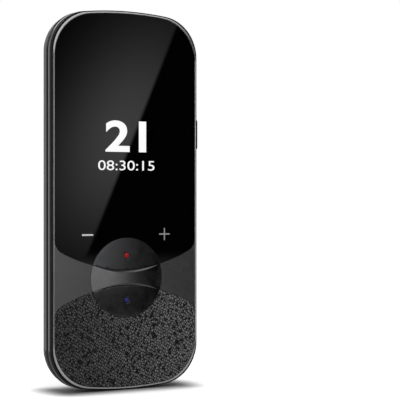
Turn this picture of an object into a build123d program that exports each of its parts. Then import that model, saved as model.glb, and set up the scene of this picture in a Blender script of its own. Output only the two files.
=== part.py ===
from build123d import *
import os
from math import atan2, cos, radians, sin, sqrt

# A hand-held translator, standing on its bottom edge: +X is its right side, +Y its back, +Z up.
# Depths are measured from the glass face towards the back, heights from the middle of the body.
# All sizes are in millimetres.

# ---- the body ----
BODY_HEIGHT = 132.0
BODY_WIDTH = 57.0
BODY_DEPTH = 13.5            # glass face to the flat of the back
END_RADIUS = 131.0           # the shallow arcs of the top and bottom edges
CORNER_RADIUS = 14.5

# ---- the side, from the front to the back ----
BAND_INSET = 0.25            # flat band behind the rim, in from the widest line
RIM_DROP = 0.25              # how far the rim slopes back from the glass to the band
FRONT_RIB = (1.6, 3.45)      # near and far depth
FRONT_RIB_INSET = 0.05
FRONT_RIB_ROUND = 0.7
GROOVE_INSET = 0.9
PARTING_DEPTH = 3.78         # front housing meets the frame
REAR_RIB = (4.5, 6.6)
REAR_RIB_ROUND = 0.9
SEAM_DEPTH = 6.7             # frame meets the rear cover
SEAM_INSET = 0.6
SEAM_STEP = 0.15

# ---- the front panels ----
RIM_WIDTH = 0.85
RIM_LAND = 0.1               # flat edge of the rim beside the glass
PANEL_CORNER_RADIUS = 16.1   # of the panels' outline before its inset: the rim is wider there
PANEL_THICKNESS = 0.95
TAPE_THICKNESS = 0.15
PANEL_GAP = 0.05             # each panel to its neighbour or the rim
WAIST_RADIUS = 53.6          # arcs that end the glass and the leather
WAIST_HALF = 3.0             # from the key centre to each of those arcs
PANEL_CORNER = 5.0
BAR_CROWN = 1.0              # how far the bar between the keys rises over the glass
BAR_SILL = 0.25              # height over the glass at which the bar's sides begin to slope
BAR_SLOPE = 45.0             # degrees
FLOOR_THICKNESS = 1.0        # shelf of the front housing under the panels
HOUSING_WALL = 1.75          # front housing's side wall

# ---- the two talk keys ----
KEYS_Z = -27.0
KEY_HOLE_RADIUS = 13.9
KEY_GAP = 0.1
KEY_CROWN = 0.45             # how far the keys' common dome would rise over the glass
KEY_ARC_RADIUS = 46.0        # the keys' edges along the bar
BAR_HALF = 2.6               # from the key centre to each of those edges
KEY_TRAVEL = 0.35
FLANGE_WIDTH = 0.6
FLANGE_THICKNESS = 0.65
FLANGE_CLEARANCE = 0.3
PLUNGER_RADIUS = 1.5
PLUNGER_Z = 4.6              # from the key centre
PLUNGER_GAP = 0.05           # left between plunger and pad when a key is fully down
PIPE_RADIUS = 1.05
PIPE_Z = 7.75
PIPE_PROUD = 0.25
PIPE_GAP = 0.02
SWITCH_SIZE = (4.0, 3.0, 0.5)
LED_SIZE = (1.6, 0.8, 0.45)
KEY_PAD_SIZE = (26.0, 23.0)
KEY_PAD_SHEET = 0.3
KEY_PAD_SKIRT = 0.8
KEY_BOARD_SIZE = (28.0, 25.4)
KEY_BOARD_THICKNESS = 0.6

# ---- the display ----
DISPLAY_SIZE = (50.0, 65.6)
DISPLAY_GAP = 0.4
SHELF_STRIP = 1.0            # shelf left between the display and the upper key
FOAM_MARGIN = 3.0
PANEL_GLASS = 1.3
BACKLIGHT = 1.2
FLEX = 0.15                  # thickness of every flexible circuit
FLEX_SLOT_GAP = 0.3
DISPLAY_FLEX_WIDTH = 12.0
DISPLAY_TAB_DEPTH = 1.9

# ---- the frame ----
PLATE_NEAR = 4.1
PLATE_THICKNESS = 0.8
FRAME_WALL_INSET = 3.0
TONGUE_OUTER_INSET = 2.3
TONGUE_LENGTH = 1.3

# ---- the rear cover ----
COVER_INSET = 0.15
COVER_DRAFT = 21.0           # degrees
COVER_WALL = 1.2
COVER_EDGE_RADIUS = 6.6
SOUND_HOLE_RADIUS = 0.55
SOUND_RINGS = (              # radius about the lens, holes, half angle in degrees
    (12.1, 5, 28.9),
    (14.5, 6, 29.8),
    (17.0, 7, 32.2),
    (19.4, 8, 35.2),
    (21.9, 9, 38.8),
    (24.3, 10, 42.1),
)

# ---- the camera ----
CAMERA_Z = 27.0
RING_RADIUS = 5.45
RING_FLANGE = 0.4            # thickness of the flange, level with the back
RING_STEPS = (0.85, 0.4, 0.7)   # flange in to collar, to bore, to lip
RING_GAP = 0.05
RING_ROUND = 0.3
WINDOW_THICKNESS = 0.5
WINDOW_SINK = 0.25           # window face behind the ring's face
BARREL_STEP = 0.15           # barrel in from the ring's lip
BARREL_LENGTH = 1.5
BARREL_GAP = 0.1             # barrel to the ring's collar
LENS_STEP = 0.35             # lens in from the barrel's edge
LENS_THICKNESS = 0.9
LENS_SEAT = 0.6              # seat of the lens over the back of the barrel
CAMERA_SIZE = 8.5
CAMERA_PLUG = (7.0, 3.0)

# ---- the power key, its switch and the microphone ----
POWER_Z = 23.5
POWER_LENGTH = 10.4
POWER_DEPTHS = (0.5, 1.9)
POWER_PROUD = 0.6
POWER_CAP = 1.0
POWER_ROUND = 0.2
POWER_TRAVEL = 0.25
POWER_GAP = 0.08
STEM_RADIUS = 0.35
STEM_Z = 3.4
STEM_GAP = 0.1               # left between stem and switch when the key is fully in
SWITCH_THICKNESS = 0.7
POWER_NOTCH = (11.0, 1.45)   # height, and how far it goes past the display opening
SIDE_TAIL = (2.0, 4.0)       # rise over the main board's lower edge, and width
SIDE_FOOT = 2.5              # how far the side circuit reaches over the main board
MIC_Z = 15.0
MIC_HOLE_RADIUS = 0.42
MIC_SIZE = (1.0, 3.5, 1.8)

# ---- boards, battery and what is on them ----
BOARD_DEPTH = 6.0
BOARD_THICKNESS = 0.8
BOARD_TOP_Z = 60.0
BOARD_BOTTOM_Z = 6.0
BOARD_INSET = 3.7
BOARD_HALF_WIDTH = 23.5
BOARD_SCREWS = ((-20.3, 17.0), (20.3, 17.0), (-18.0, 54.5), (18.0, 54.5))
SHIELD_SIZE = (12.6, 16.0, 1.2)
SHIELD_WALL = 0.2
SHIELD_X = 12.0
SHIELD_Z = 24.0
BATTERY_SIZE = (38.0, 56.0, 5.6)
BATTERY_CORNER = 1.5
BATTERY_Z = -26.0
BATTERY_TAPE = 0.3
BATTERY_TAPE_WIDTH = 8.0
BATTERY_TAPE_X = 12.5
PROTECTION_HEIGHT = 2.4
PROTECTION_MARGIN = (3.0, 1.0)
WIRE_RADIUS = 0.45
WIRE_X = (13.2, 15.0)
CONNECTORS = (1.5, 3.0)      # rise over the main board's lower edge, and height
BATTERY_PLUG = (5.5, 1.2)    # width and thickness
SOCKET_HEIGHT = 0.6
LINK_X = (-14.0, -8.0)
LINK_TAIL_X = -10.6          # the tail on the charging board is narrower, to clear its screw
LINK_TAIL = 1.4
SPEAKER_SIZE = (38.0, 16.5, 3.3)
SPEAKER_Z = 45.25
SPEAKER_DEPTH = 8.3
SPEAKER_WALL = 1.2
SPEAKER_CORNER = 2.0
SPEAKER_FLOOR = 0.8
SPEAKER_FEET_X = 15.0
DRIVER_GAP = 0.2
CONE_DEPTH = 0.5
MESH_THICKNESS = 0.1
ANTENNA_SIZE = (26.0, 3.0)
ANTENNA_GAP = 0.8
USB_SIZE = (8.94, 7.0, 3.2)
USB_WALL = 0.3
USB_TONGUE = 0.7
USB_SINK = 1.1               # the port's mouth inside the body's lowest line
USB_GAP = 0.15
CHARGING_SIZE = (22.0, 7.5)
CHARGING_RISE = 3.5          # lower edge of the charging board over the body's lowest line
CHARGING_SCREW_X = 9.0

# ---- screws ----
SHANK_RADIUS = 0.55
HEAD_RADIUS = 1.35
HEAD_THICKNESS = 0.6
THREAD_GAP = 0.05
TIP_GAP = 0.3                # screw tip short of the bottom of its hole
BOSS_RADIUS = 1.8
END_SCREWS = ((13.5, 6.2), (14.0, 8.5))   # X on both sides, and in from the top and bottom
SIDE_SCREW = (21.0, -20.0)

# ---- the lanyard eye, on the lower right corner: degrees below the horizontal ----
EYE_ANGLES = (36.0, 69.0)
EYE_BAR_ANGLES = (47.0, 57.5)
EYE_DEPTHS = (1.4, 2.95)
EYE_INSET = 2.9
EYE_WALL = 1.3
EYE_WALL_ANGLE = 4.0         # how far the inner wall runs past the slot at each end
EYE_BAR_SEAT = 0.3
EYE_BAR_INSETS = (0.1, 1.1)
EYE_BAR_GAP = 0.03

# ---- worked out from the sizes above ----
MIDDLE = BODY_HEIGHT / 2
FRONT_Y = (BAR_CROWN - BODY_DEPTH) / 2
GLASS_INSET = BAND_INSET + RIM_WIDTH
FLOOR_NEAR = PANEL_THICKNESS + TAPE_THICKNESS
FLOOR_FAR = FLOOR_NEAR + FLOOR_THICKNESS
HOUSING_INSET = BAND_INSET + HOUSING_WALL
PLATE_FAR = PLATE_NEAR + PLATE_THICKNESS
OPENING_HALF = DISPLAY_SIZE[0] / 2 + DISPLAY_GAP
FLANGE_HOLE_RADIUS = KEY_HOLE_RADIUS + FLANGE_WIDTH + FLANGE_CLEARANCE
DISPLAY_BOTTOM = KEYS_Z + FLANGE_HOLE_RADIUS + SHELF_STRIP + DISPLAY_GAP
DISPLAY_Z = DISPLAY_BOTTOM + DISPLAY_SIZE[1] / 2
FLEX_FOLD = DISPLAY_BOTTOM - DISPLAY_GAP / 4
FLANGE_NEAR = PANEL_THICKNESS + KEY_GAP / 2
FLANGE_FAR = FLANGE_NEAR + FLANGE_THICKNESS
DISPLAY_BACK = PANEL_THICKNESS + PANEL_GLASS + BACKLIGHT
BOARD_FAR = BOARD_DEPTH + BOARD_THICKNESS
INNER_BACK = BODY_DEPTH - COVER_WALL
TONGUE_FAR = SEAM_DEPTH + TONGUE_LENGTH
KEY_BOARD_NEAR = PLATE_NEAR - KEY_BOARD_THICKNESS
SWITCH_NEAR = KEY_BOARD_NEAR - SWITCH_SIZE[2]
PLUNGER_FAR = SWITCH_NEAR - KEY_PAD_SHEET - KEY_TRAVEL - PLUNGER_GAP
STEM_DEPTH = (FLOOR_NEAR + FLOOR_FAR) / 2
BATTERY_DEPTH = PLATE_FAR + BATTERY_TAPE
BATTERY_FAR = BATTERY_DEPTH + BATTERY_SIZE[2]
BATTERY_TOP = BATTERY_Z + BATTERY_SIZE[1] / 2
USB_DEPTH = PLATE_NEAR + USB_GAP
USB_MOUTH = USB_SINK - MIDDLE
CHARGING_Z = CHARGING_RISE + CHARGING_SIZE[1] / 2 - MIDDLE
CHARGING_NEAR = USB_DEPTH + USB_SIZE[2]
CHARGING_FAR = CHARGING_NEAR + BOARD_THICKNESS
BAND_X = BODY_WIDTH / 2 - BAND_INSET
CAP_OUTER_X = BAND_X + POWER_PROUD
CAP_INNER_X = CAP_OUTER_X - POWER_CAP
NOTCH_X = OPENING_HALF + POWER_NOTCH[1]
SIDE_FLEX_X = DISPLAY_SIZE[0] / 2 + DISPLAY_GAP / 4
SWITCH_X = SIDE_FLEX_X + FLEX
RING_COLLAR = RING_RADIUS - RING_STEPS[0]
RING_BORE = RING_COLLAR - RING_STEPS[1]
RING_LIP = RING_BORE - RING_STEPS[2]
BARREL_RADIUS = RING_LIP - BARREL_STEP
LENS_RADIUS = BARREL_RADIUS - LENS_STEP
END_CENTRE_Z = MIDDLE - END_RADIUS


# ---- drawing helpers ----
def across(depth):
    """The plane across the body at a depth: x is to the right, y is the height from the middle."""
    return Plane(origin=(0, FRONT_Y + depth, MIDDLE), x_dir=(1, 0, 0), z_dir=(0, -1, 0))


def slab(shape, near, far):
    """A flat shape made solid between two depths."""
    return extrude(across(far) * shape, far - near, dir=(0, -1, 0))


def rounded_slab(shape, near, far, near_round=0.0, far_round=0.0):
    """A slab whose outer edges are rounded at either face."""
    solid = slab(shape, near, far)
    if near_round:
        solid = fillet(solid.edges().group_by(Axis.Y)[0], near_round)
    if far_round:
        solid = fillet(solid.edges().group_by(Axis.Y)[-1], far_round)
    return solid


def block(x, z, depth):
    """A box between two values of X, two heights and two depths."""
    size = (x[1] - x[0], z[1] - z[0])
    return slab(Pos((x[0] + x[1]) / 2, (z[0] + z[1]) / 2) * Rectangle(*size), *depth)


def disc(x, z, radius, near, far):
    """A round bar through the body's depth."""
    return slab(Pos(x, z) * Circle(radius), near, far)


def sideways(z, depth, radius, x_from, x_to):
    """A round bar along X."""
    plane = Plane(origin=(x_from, FRONT_Y + depth, MIDDLE + z), x_dir=(0, 1, 0), z_dir=(1, 0, 0))
    return extrude(plane * Circle(radius), x_to - x_from, dir=(1, 0, 0))


def corner_centre(radius):
    """The centre of the upper right corner's arc, which runs on into the side and the end."""
    x = BODY_WIDTH / 2 - radius
    return x, END_CENTRE_Z + sqrt((END_RADIUS - radius) ** 2 - x**2)


def outline(inset=0.0, corner_radius=CORNER_RADIUS):
    """The body seen from the front, drawn smaller by an inset on every side."""
    centre_x, centre_z = corner_centre(corner_radius)
    radius = corner_radius - inset
    turn = atan2(centre_z - END_CENTRE_Z, centre_x)
    corner = [
        (centre_x + radius * cos(angle), centre_z + radius * sin(angle))
        for angle in (0, turn / 2, turn)
    ]
    side_x, side_z = corner[0]
    end_x, end_z = corner[2]
    edges = []
    for right, up in ((1, 1), (-1, 1), (-1, -1), (1, -1)):
        edges.append(ThreePointArc(*[(right * x, up * z) for x, z in corner]))
    for sign in (1, -1):
        crest = (0, sign * (MIDDLE - inset))
        edges.append(ThreePointArc((-end_x, sign * end_z), crest, (end_x, sign * end_z)))
        edges.append(Line((sign * side_x, -side_z), (sign * side_x, side_z)))
    return make_face(Curve() + edges)


def panel_outline(inset):
    """The outline that the front panels share."""
    return outline(inset, PANEL_CORNER_RADIUS)


def corner_wedge(angles):
    """The part of the lower right corner between two angles below the horizontal."""
    x, z = corner_centre(CORNER_RADIUS)
    reach = 2 * CORNER_RADIUS
    rim = [(x + reach * cos(radians(a)), -z - reach * sin(radians(a))) for a in angles]
    return make_face(Polyline((x, -z), *rim, close=True))


# ---- shapes of the front panels and keys ----
def beyond_waist(side, grow):
    """The body's upper or lower end, cut off by an arc beside the keys: side is 1 or -1."""
    centre = KEYS_Z + side * (WAIST_HALF + WAIST_RADIUS)
    end = Pos(0, centre) * Circle(WAIST_RADIUS + grow)
    end += Pos(0, centre + side * MIDDLE) * Rectangle(2 * WAIST_RADIUS, BODY_HEIGHT)
    return panel_outline(GLASS_INSET + PANEL_GAP - grow) & end


def glass_shape(grow=0.0):
    """The glass's outline, without its key hole, drawn larger by an allowance."""
    shape = beyond_waist(1, grow)
    return fillet(shape.vertices().sort_by(Axis.Y)[:2], PANEL_CORNER + grow)


def leather_shape(grow=0.0):
    """The leather's outline, without its key hole, drawn larger by an allowance."""
    shape = beyond_waist(-1, grow)
    return fillet(shape.vertices().sort_by(Axis.Y)[-2:], PANEL_CORNER + grow)


def key_area(side, radius, arc_radius):
    """The lens shape of a key: side is 1 for the upper key and -1 for the lower one."""
    arc_centre = KEYS_Z + side * (BAR_HALF + KEY_ARC_RADIUS)
    return Pos(0, KEYS_Z) * Circle(radius) & Pos(0, arc_centre) * Circle(arc_radius)


def key_hole(side):
    return key_area(side, KEY_HOLE_RADIUS, KEY_ARC_RADIUS)


def flange_hole(side):
    return key_area(side, FLANGE_HOLE_RADIUS, KEY_ARC_RADIUS)


def plate_shape():
    """The bow-tie between the glass, the leather and the keys."""
    shape = panel_outline(GLASS_INSET + PANEL_GAP)
    shape -= glass_shape(PANEL_GAP) + leather_shape(PANEL_GAP)
    return shape - key_hole(1) - key_hole(-1)


def display_opening():
    height = DISPLAY_SIZE[1] + 2 * DISPLAY_GAP
    return Pos(0, DISPLAY_Z) * Rectangle(2 * OPENING_HALF, height)


def power_notch():
    """The notch in the shelf beside the display, for the side switch."""
    width = POWER_NOTCH[1] + DISPLAY_GAP
    return Pos(NOTCH_X - width / 2, POWER_Z) * Rectangle(width, POWER_NOTCH[0])


def power_shape(grow=0.0):
    """The power key seen from the side, on a plane whose x is the depth and y the height."""
    width = POWER_DEPTHS[1] - POWER_DEPTHS[0] + 2 * grow
    length = POWER_LENGTH + 2 * grow
    return Pos(sum(POWER_DEPTHS) / 2, 0) * RectangleRounded(width, length, 0.45 * width)


def power_bar(grow, x_from, x_to):
    """The power key's shape made solid between two values of X."""
    origin = (x_from, FRONT_Y, MIDDLE + POWER_Z)
    plane = Plane(origin=origin, x_dir=(0, 1, 0), z_dir=(1, 0, 0))
    return extrude(plane * power_shape(grow), x_to - x_from, dir=(1, 0, 0))


def frame_screw_places():
    (top_x, top_in), (bottom_x, bottom_in) = END_SCREWS
    places = ((top_x, MIDDLE - top_in), SIDE_SCREW, (bottom_x, bottom_in - MIDDLE))
    return [(side * x, z) for x, z in places for side in (-1, 1)]


def charging_screw_places():
    return [(side * CHARGING_SCREW_X, CHARGING_Z) for side in (-1, 1)]


# ---- casings ----
def front_bezel():
    rib_middle = sum(FRONT_RIB) / 2
    land = panel_outline(GLASS_INSET - RIM_LAND)
    solid = loft([across(RIM_DROP) * outline(BAND_INSET), across(0) * land])
    solid += slab(outline(BAND_INSET), RIM_DROP, rib_middle)
    solid += rounded_slab(outline(FRONT_RIB_INSET), *FRONT_RIB, FRONT_RIB_ROUND, FRONT_RIB_ROUND)
    solid += slab(outline(GROOVE_INSET), rib_middle, PARTING_DEPTH)
    solid -= slab(panel_outline(GLASS_INSET), 0, FLOOR_NEAR)
    solid -= slab(outline(HOUSING_INSET), FLOOR_FAR, PLATE_NEAR)
    for cut in (display_opening(), power_notch(), flange_hole(1), flange_hole(-1)):
        solid -= slab(cut, 0, PLATE_NEAR)
    for x, z in frame_screw_places():
        solid += disc(x, z, BOSS_RADIUS, FLOOR_FAR, PLATE_NEAR)
        solid -= disc(x, z, SHANK_RADIUS + THREAD_GAP, FLOOR_FAR, PLATE_NEAR)
    solid -= power_bar(POWER_GAP, CAP_INNER_X - POWER_TRAVEL - POWER_GAP, CAP_OUTER_X)
    for sign in (-1, 1):
        z = POWER_Z + sign * STEM_Z
        solid -= sideways(z, STEM_DEPTH, STEM_RADIUS + POWER_GAP, OPENING_HALF, BAND_X)
    return with_lanyard_eye(with_mic_channel(solid))


def with_mic_channel(solid):
    """A hole in through the band, turned back into the housing behind the shelf."""
    elbow_x = OPENING_HALF + 1.2 * MIC_HOLE_RADIUS
    depth = (FLOOR_NEAR + FLOOR_FAR) / 2
    solid -= sideways(MIC_Z, depth, MIC_HOLE_RADIUS, elbow_x, BODY_WIDTH / 2)
    return solid - disc(elbow_x, MIC_Z, MIC_HOLE_RADIUS, depth, FLOOR_FAR)


def with_lanyard_eye(solid):
    """A slot across the corner, with a wall inside it and a seat for its bar."""
    wall_angles = (EYE_ANGLES[0] - EYE_WALL_ANGLE, EYE_ANGLES[1] + EYE_WALL_ANGLE)
    ring = outline(GLASS_INSET) - outline(EYE_INSET + EYE_WALL)
    solid += slab(ring & corner_wedge(wall_angles), FLOOR_FAR, PARTING_DEPTH)
    slot = (outline() - outline(EYE_INSET)) & corner_wedge(EYE_ANGLES)
    solid -= slab(slot, *EYE_DEPTHS)
    return solid - eye_bar(EYE_BAR_GAP)


def eye_bar(grow=0.0):
    outer, inner = EYE_BAR_INSETS
    ring = outline(outer - grow) - outline(inner + grow)
    near, far = EYE_DEPTHS
    seat = EYE_BAR_SEAT + grow
    return slab(ring & corner_wedge(EYE_BAR_ANGLES), near - seat, far + seat)


def mid_frame():
    rib_middle = sum(REAR_RIB) / 2
    solid = slab(outline(GROOVE_INSET), PARTING_DEPTH, rib_middle)
    solid += rounded_slab(outline(0), *REAR_RIB, REAR_RIB_ROUND, REAR_RIB_ROUND)
    solid += slab(outline(SEAM_INSET), rib_middle, SEAM_DEPTH)
    solid += slab(outline(TONGUE_OUTER_INSET), SEAM_DEPTH, TONGUE_FAR)
    solid -= slab(outline(HOUSING_INSET), PARTING_DEPTH, PLATE_NEAR)
    solid -= slab(outline(FRAME_WALL_INSET), PLATE_FAR, TONGUE_FAR)
    for x, z in BOARD_SCREWS:
        solid += disc(x, z, BOSS_RADIUS, PLATE_FAR, BOARD_DEPTH)
        solid -= disc(x, z, SHANK_RADIUS + THREAD_GAP, PLATE_NEAR, BOARD_DEPTH)
    for x, z in charging_screw_places():
        solid += disc(x, z, BOSS_RADIUS, PLATE_FAR, CHARGING_NEAR)
        solid -= disc(x, z, SHANK_RADIUS + THREAD_GAP, PLATE_FAR, CHARGING_NEAR)
    for x, z in frame_screw_places():
        solid -= disc(x, z, SHANK_RADIUS + THREAD_GAP, PLATE_NEAR, PLATE_FAR)
    solid -= usb_cut()
    half = DISPLAY_FLEX_WIDTH / 2 + FLEX_SLOT_GAP
    slot = (FLEX_FOLD - FLEX - FLEX_SLOT_GAP, FLEX_FOLD + FLEX_SLOT_GAP)
    solid -= block((-half, half), slot, (PLATE_NEAR, PLATE_FAR))
    x = (SIDE_FLEX_X - FLEX_SLOT_GAP / 2, SWITCH_X + FLEX_SLOT_GAP / 2)
    low, high = side_flex_tail()
    slot = (low - FLEX_SLOT_GAP, high + FLEX_SLOT_GAP)
    return solid - block(x, slot, (PLATE_NEAR, PLATE_FAR))


def usb_cut():
    """The port's opening, from below the body to behind the port."""
    half = USB_SIZE[0] / 2 + USB_GAP
    z = (-MIDDLE, USB_MOUTH + USB_SIZE[1] + USB_GAP)
    return block((-half, half), z, (USB_DEPTH - USB_GAP, CHARGING_NEAR + USB_GAP))


def cover_form(inset, far, edge_radius):
    """A drafted dish with a rounded back edge, from the seam to a depth."""
    near = SEAM_DEPTH + SEAM_STEP
    towards_back = Plane(origin=(0, FRONT_Y + near, MIDDLE), x_dir=(-1, 0, 0), z_dir=(0, 1, 0))
    solid = extrude(towards_back * outline(inset), far - near, taper=COVER_DRAFT)
    return fillet(solid.edges().group_by(Axis.Y)[-1], edge_radius)


def rear_cover():
    inner = COVER_INSET + COVER_WALL / cos(radians(COVER_DRAFT))
    solid = cover_form(COVER_INSET, BODY_DEPTH, COVER_EDGE_RADIUS)
    solid += slab(outline(SEAM_INSET), SEAM_DEPTH, SEAM_DEPTH + SEAM_STEP)
    solid -= cover_form(inner, INNER_BACK, COVER_EDGE_RADIUS - COVER_WALL)
    solid -= slab(outline(inner), SEAM_DEPTH, SEAM_DEPTH + SEAM_STEP)
    solid -= usb_cut()
    solid -= disc(0, CAMERA_Z, RING_COLLAR + RING_GAP, INNER_BACK, BODY_DEPTH)
    solid -= disc(0, CAMERA_Z, RING_RADIUS + RING_GAP, BODY_DEPTH - RING_FLANGE, BODY_DEPTH)
    holes = [
        Pos(x, z) * Circle(SOUND_HOLE_RADIUS) for x, z in sound_hole_places()
    ]
    return solid - slab(Sketch() + holes, INNER_BACK, BODY_DEPTH)


def sound_hole_places():
    """The holes fan out over the lens, on rings about its centre."""
    places = []
    for radius, count, half_angle in SOUND_RINGS:
        for i in range(count):
            angle = radians(half_angle * (2 * i / (count - 1) - 1))
            places.append((radius * sin(angle), CAMERA_Z + radius * cos(angle)))
    return places


# ---- front panels ----
def cover_glass():
    return slab(glass_shape() - Pos(0, KEYS_Z) * Circle(KEY_HOLE_RADIUS), 0, PANEL_THICKNESS)


def leather_panel():
    return slab(leather_shape() - Pos(0, KEYS_Z) * Circle(KEY_HOLE_RADIUS), 0, PANEL_THICKNESS)


def control_plate():
    """The satin plate, with a bar between the keys: arched from end to end, with sloping sides."""
    shape = plate_shape()
    bar = shape & Pos(0, KEYS_Z) * Circle(KEY_HOLE_RADIUS)
    arch = (KEY_HOLE_RADIUS**2 + BAR_CROWN**2) / (2 * BAR_CROWN)
    place = Pos(0, FRONT_Y - BAR_CROWN + arch, MIDDLE + KEYS_Z)
    raised = slab(bar, -BAR_CROWN, PANEL_THICKNESS) & place * Cylinder(arch, BODY_WIDTH)
    for side in (1, -1):
        raised -= extrude(across(-BAR_SILL) * key_hole(side), BAR_CROWN, taper=-BAR_SLOPE)
    return slab(shape, 0, PANEL_THICKNESS) + raised


def tape(panel):
    """Adhesive between a panel and the shelf."""
    shape = panel - display_opening() - flange_hole(1) - flange_hole(-1)
    return slab(shape, PANEL_THICKNESS, FLOOR_NEAR)


# ---- keys ----
def talk_key(side):
    """A domed cap with a flange behind the panels, a plunger and a hole for its light."""
    sphere = (KEY_HOLE_RADIUS**2 + KEY_CROWN**2) / (2 * KEY_CROWN)
    cap = key_area(side, KEY_HOLE_RADIUS - KEY_GAP, KEY_ARC_RADIUS - KEY_GAP)
    flange = key_area(side, KEY_HOLE_RADIUS + FLANGE_WIDTH, KEY_ARC_RADIUS - 2 * KEY_GAP)
    dome = Pos(0, FRONT_Y - KEY_CROWN + sphere, MIDDLE + KEYS_Z) * Sphere(sphere)
    solid = slab(cap, -KEY_CROWN, FLANGE_FAR) & dome
    solid += slab(flange, FLANGE_NEAR, FLANGE_FAR)
    solid += disc(0, KEYS_Z + side * PLUNGER_Z, PLUNGER_RADIUS, FLANGE_FAR, PLUNGER_FAR)
    return solid - disc(0, KEYS_Z + side * PIPE_Z, PIPE_RADIUS + PIPE_GAP, -KEY_CROWN, FLANGE_FAR)


def light_pipe(side):
    """A clear pin with a rounded head, flush behind with the key's flange."""
    sphere = (KEY_HOLE_RADIUS**2 + KEY_CROWN**2) / (2 * KEY_CROWN)
    dome_depth = sphere - KEY_CROWN - sqrt(sphere**2 - PIPE_Z**2)
    near = dome_depth - PIPE_PROUD
    pin = disc(0, KEYS_Z + side * PIPE_Z, PIPE_RADIUS, near, FLANGE_FAR)
    return fillet(pin.edges().sort_by(Axis.Y)[0], 0.6 * PIPE_RADIUS)


def key_places(offset):
    return [KEYS_Z + side * offset for side in (1, -1)]


def key_switches():
    width, height, thickness = SWITCH_SIZE
    body = Rectangle(width, height)
    shapes = [Pos(0, z) * body for z in key_places(PLUNGER_Z)]
    return slab(Sketch() + shapes, KEY_BOARD_NEAR - thickness, KEY_BOARD_NEAR)


def key_leds():
    width, height, thickness = LED_SIZE
    shapes = [Pos(0, z) * Rectangle(width, height) for z in key_places(PIPE_Z)]
    return slab(Sketch() + shapes, KEY_BOARD_NEAR - thickness, KEY_BOARD_NEAR)


def key_board():
    return slab(Pos(0, KEYS_Z) * Rectangle(*KEY_BOARD_SIZE), KEY_BOARD_NEAR, PLATE_NEAR)


def key_pad():
    """A silicone sheet on the switches, with a skirt down to the board and a hole for each light."""
    outer = Pos(0, KEYS_Z) * Rectangle(*KEY_PAD_SIZE)
    inner = Pos(0, KEYS_Z) * Rectangle(*[size - 2 * KEY_PAD_SKIRT for size in KEY_PAD_SIZE])
    solid = slab(outer, SWITCH_NEAR - KEY_PAD_SHEET, KEY_BOARD_NEAR)
    solid -= slab(inner, SWITCH_NEAR, KEY_BOARD_NEAR)
    for z in key_places(PIPE_Z):
        solid -= disc(0, z, PIPE_RADIUS, SWITCH_NEAR - KEY_PAD_SHEET, SWITCH_NEAR)
    return solid


def power_key():
    """A cap with two stems that reach in to the side switch."""
    cap = power_bar(0, CAP_INNER_X, CAP_OUTER_X)
    cap = fillet(cap.edges().group_by(Axis.X)[-1], POWER_ROUND)
    for sign in (-1, 1):
        cap += sideways(POWER_Z + sign * STEM_Z, STEM_DEPTH, STEM_RADIUS, stem_end(), CAP_INNER_X)
    return cap


def stem_end():
    """The stems stop short of the switch by the key's travel and a little more."""
    return SWITCH_X + SWITCH_THICKNESS + POWER_TRAVEL + STEM_GAP


def power_switch():
    """A bar switch behind both stems, within the shelf's notch."""
    half = STEM_Z + 2 * STEM_RADIUS
    z = (POWER_Z - half, POWER_Z + half)
    return block((SWITCH_X, SWITCH_X + SWITCH_THICKNESS), z, (FLOOR_NEAR, FLOOR_FAR))


def side_flex_tail():
    """Heights between which the side circuit passes through the frame to the main board."""
    rise, width = SIDE_TAIL
    return BOARD_BOTTOM_Z + rise, BOARD_BOTTOM_Z + rise + width


def side_flex():
    """Runs beside the display, down through the frame, and ends on the main board."""
    x = (SIDE_FLEX_X, SWITCH_X)
    tail = side_flex_tail()
    top = POWER_Z + POWER_NOTCH[0] / 2 - DISPLAY_GAP
    strip = block(x, (tail[0], top), (FLOOR_FAR, PLATE_NEAR - FLEX))
    strip += block(x, (POWER_Z - STEM_Z, POWER_Z + STEM_Z), (FLOOR_NEAR, FLOOR_FAR))
    strip += block(x, tail, (FLOOR_FAR, BOARD_DEPTH))
    foot = (BOARD_HALF_WIDTH - SIDE_FOOT, SWITCH_X)
    return strip + block(foot, tail, (BOARD_DEPTH - FLEX, BOARD_DEPTH))


def microphone():
    """Stands on the side circuit, its sound hole against the shelf."""
    width, height, depth = MIC_SIZE
    z = (MIC_Z - height / 2, MIC_Z + height / 2)
    return block((SWITCH_X, SWITCH_X + width), z, (FLOOR_FAR, FLOOR_FAR + depth))


# ---- display ----
def display_layer(near, thickness, shrink=0.0):
    width, height = DISPLAY_SIZE
    shape = Pos(0, DISPLAY_Z) * Rectangle(width - shrink, height - shrink)
    return slab(shape, near, near + thickness)


def display_flex():
    """From the display's lower edge back through the frame, then up to the main board."""
    x = (-DISPLAY_FLEX_WIDTH / 2, DISPLAY_FLEX_WIDTH / 2)
    tab = (DISPLAY_TAB_DEPTH, DISPLAY_TAB_DEPTH + FLEX)
    rear = (PLATE_FAR, PLATE_FAR + FLEX)
    fold = (FLEX_FOLD - FLEX, FLEX_FOLD)
    strip = block(x, (fold[0], DISPLAY_BOTTOM), tab)
    strip += block(x, fold, (tab[0], rear[1]))
    return strip + block(x, (fold[0], connector_heights()[1]), rear)


# ---- boards and battery ----
def main_board():
    height = BOARD_TOP_Z - BOARD_BOTTOM_Z
    shape = Pos(0, (BOARD_TOP_Z + BOARD_BOTTOM_Z) / 2) * Rectangle(2 * BOARD_HALF_WIDTH, height)
    solid = slab(shape & outline(BOARD_INSET), BOARD_DEPTH, BOARD_FAR)
    for x, z in BOARD_SCREWS:
        solid -= disc(x, z, SHANK_RADIUS + THREAD_GAP, BOARD_DEPTH, BOARD_FAR)
    return solid


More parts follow.
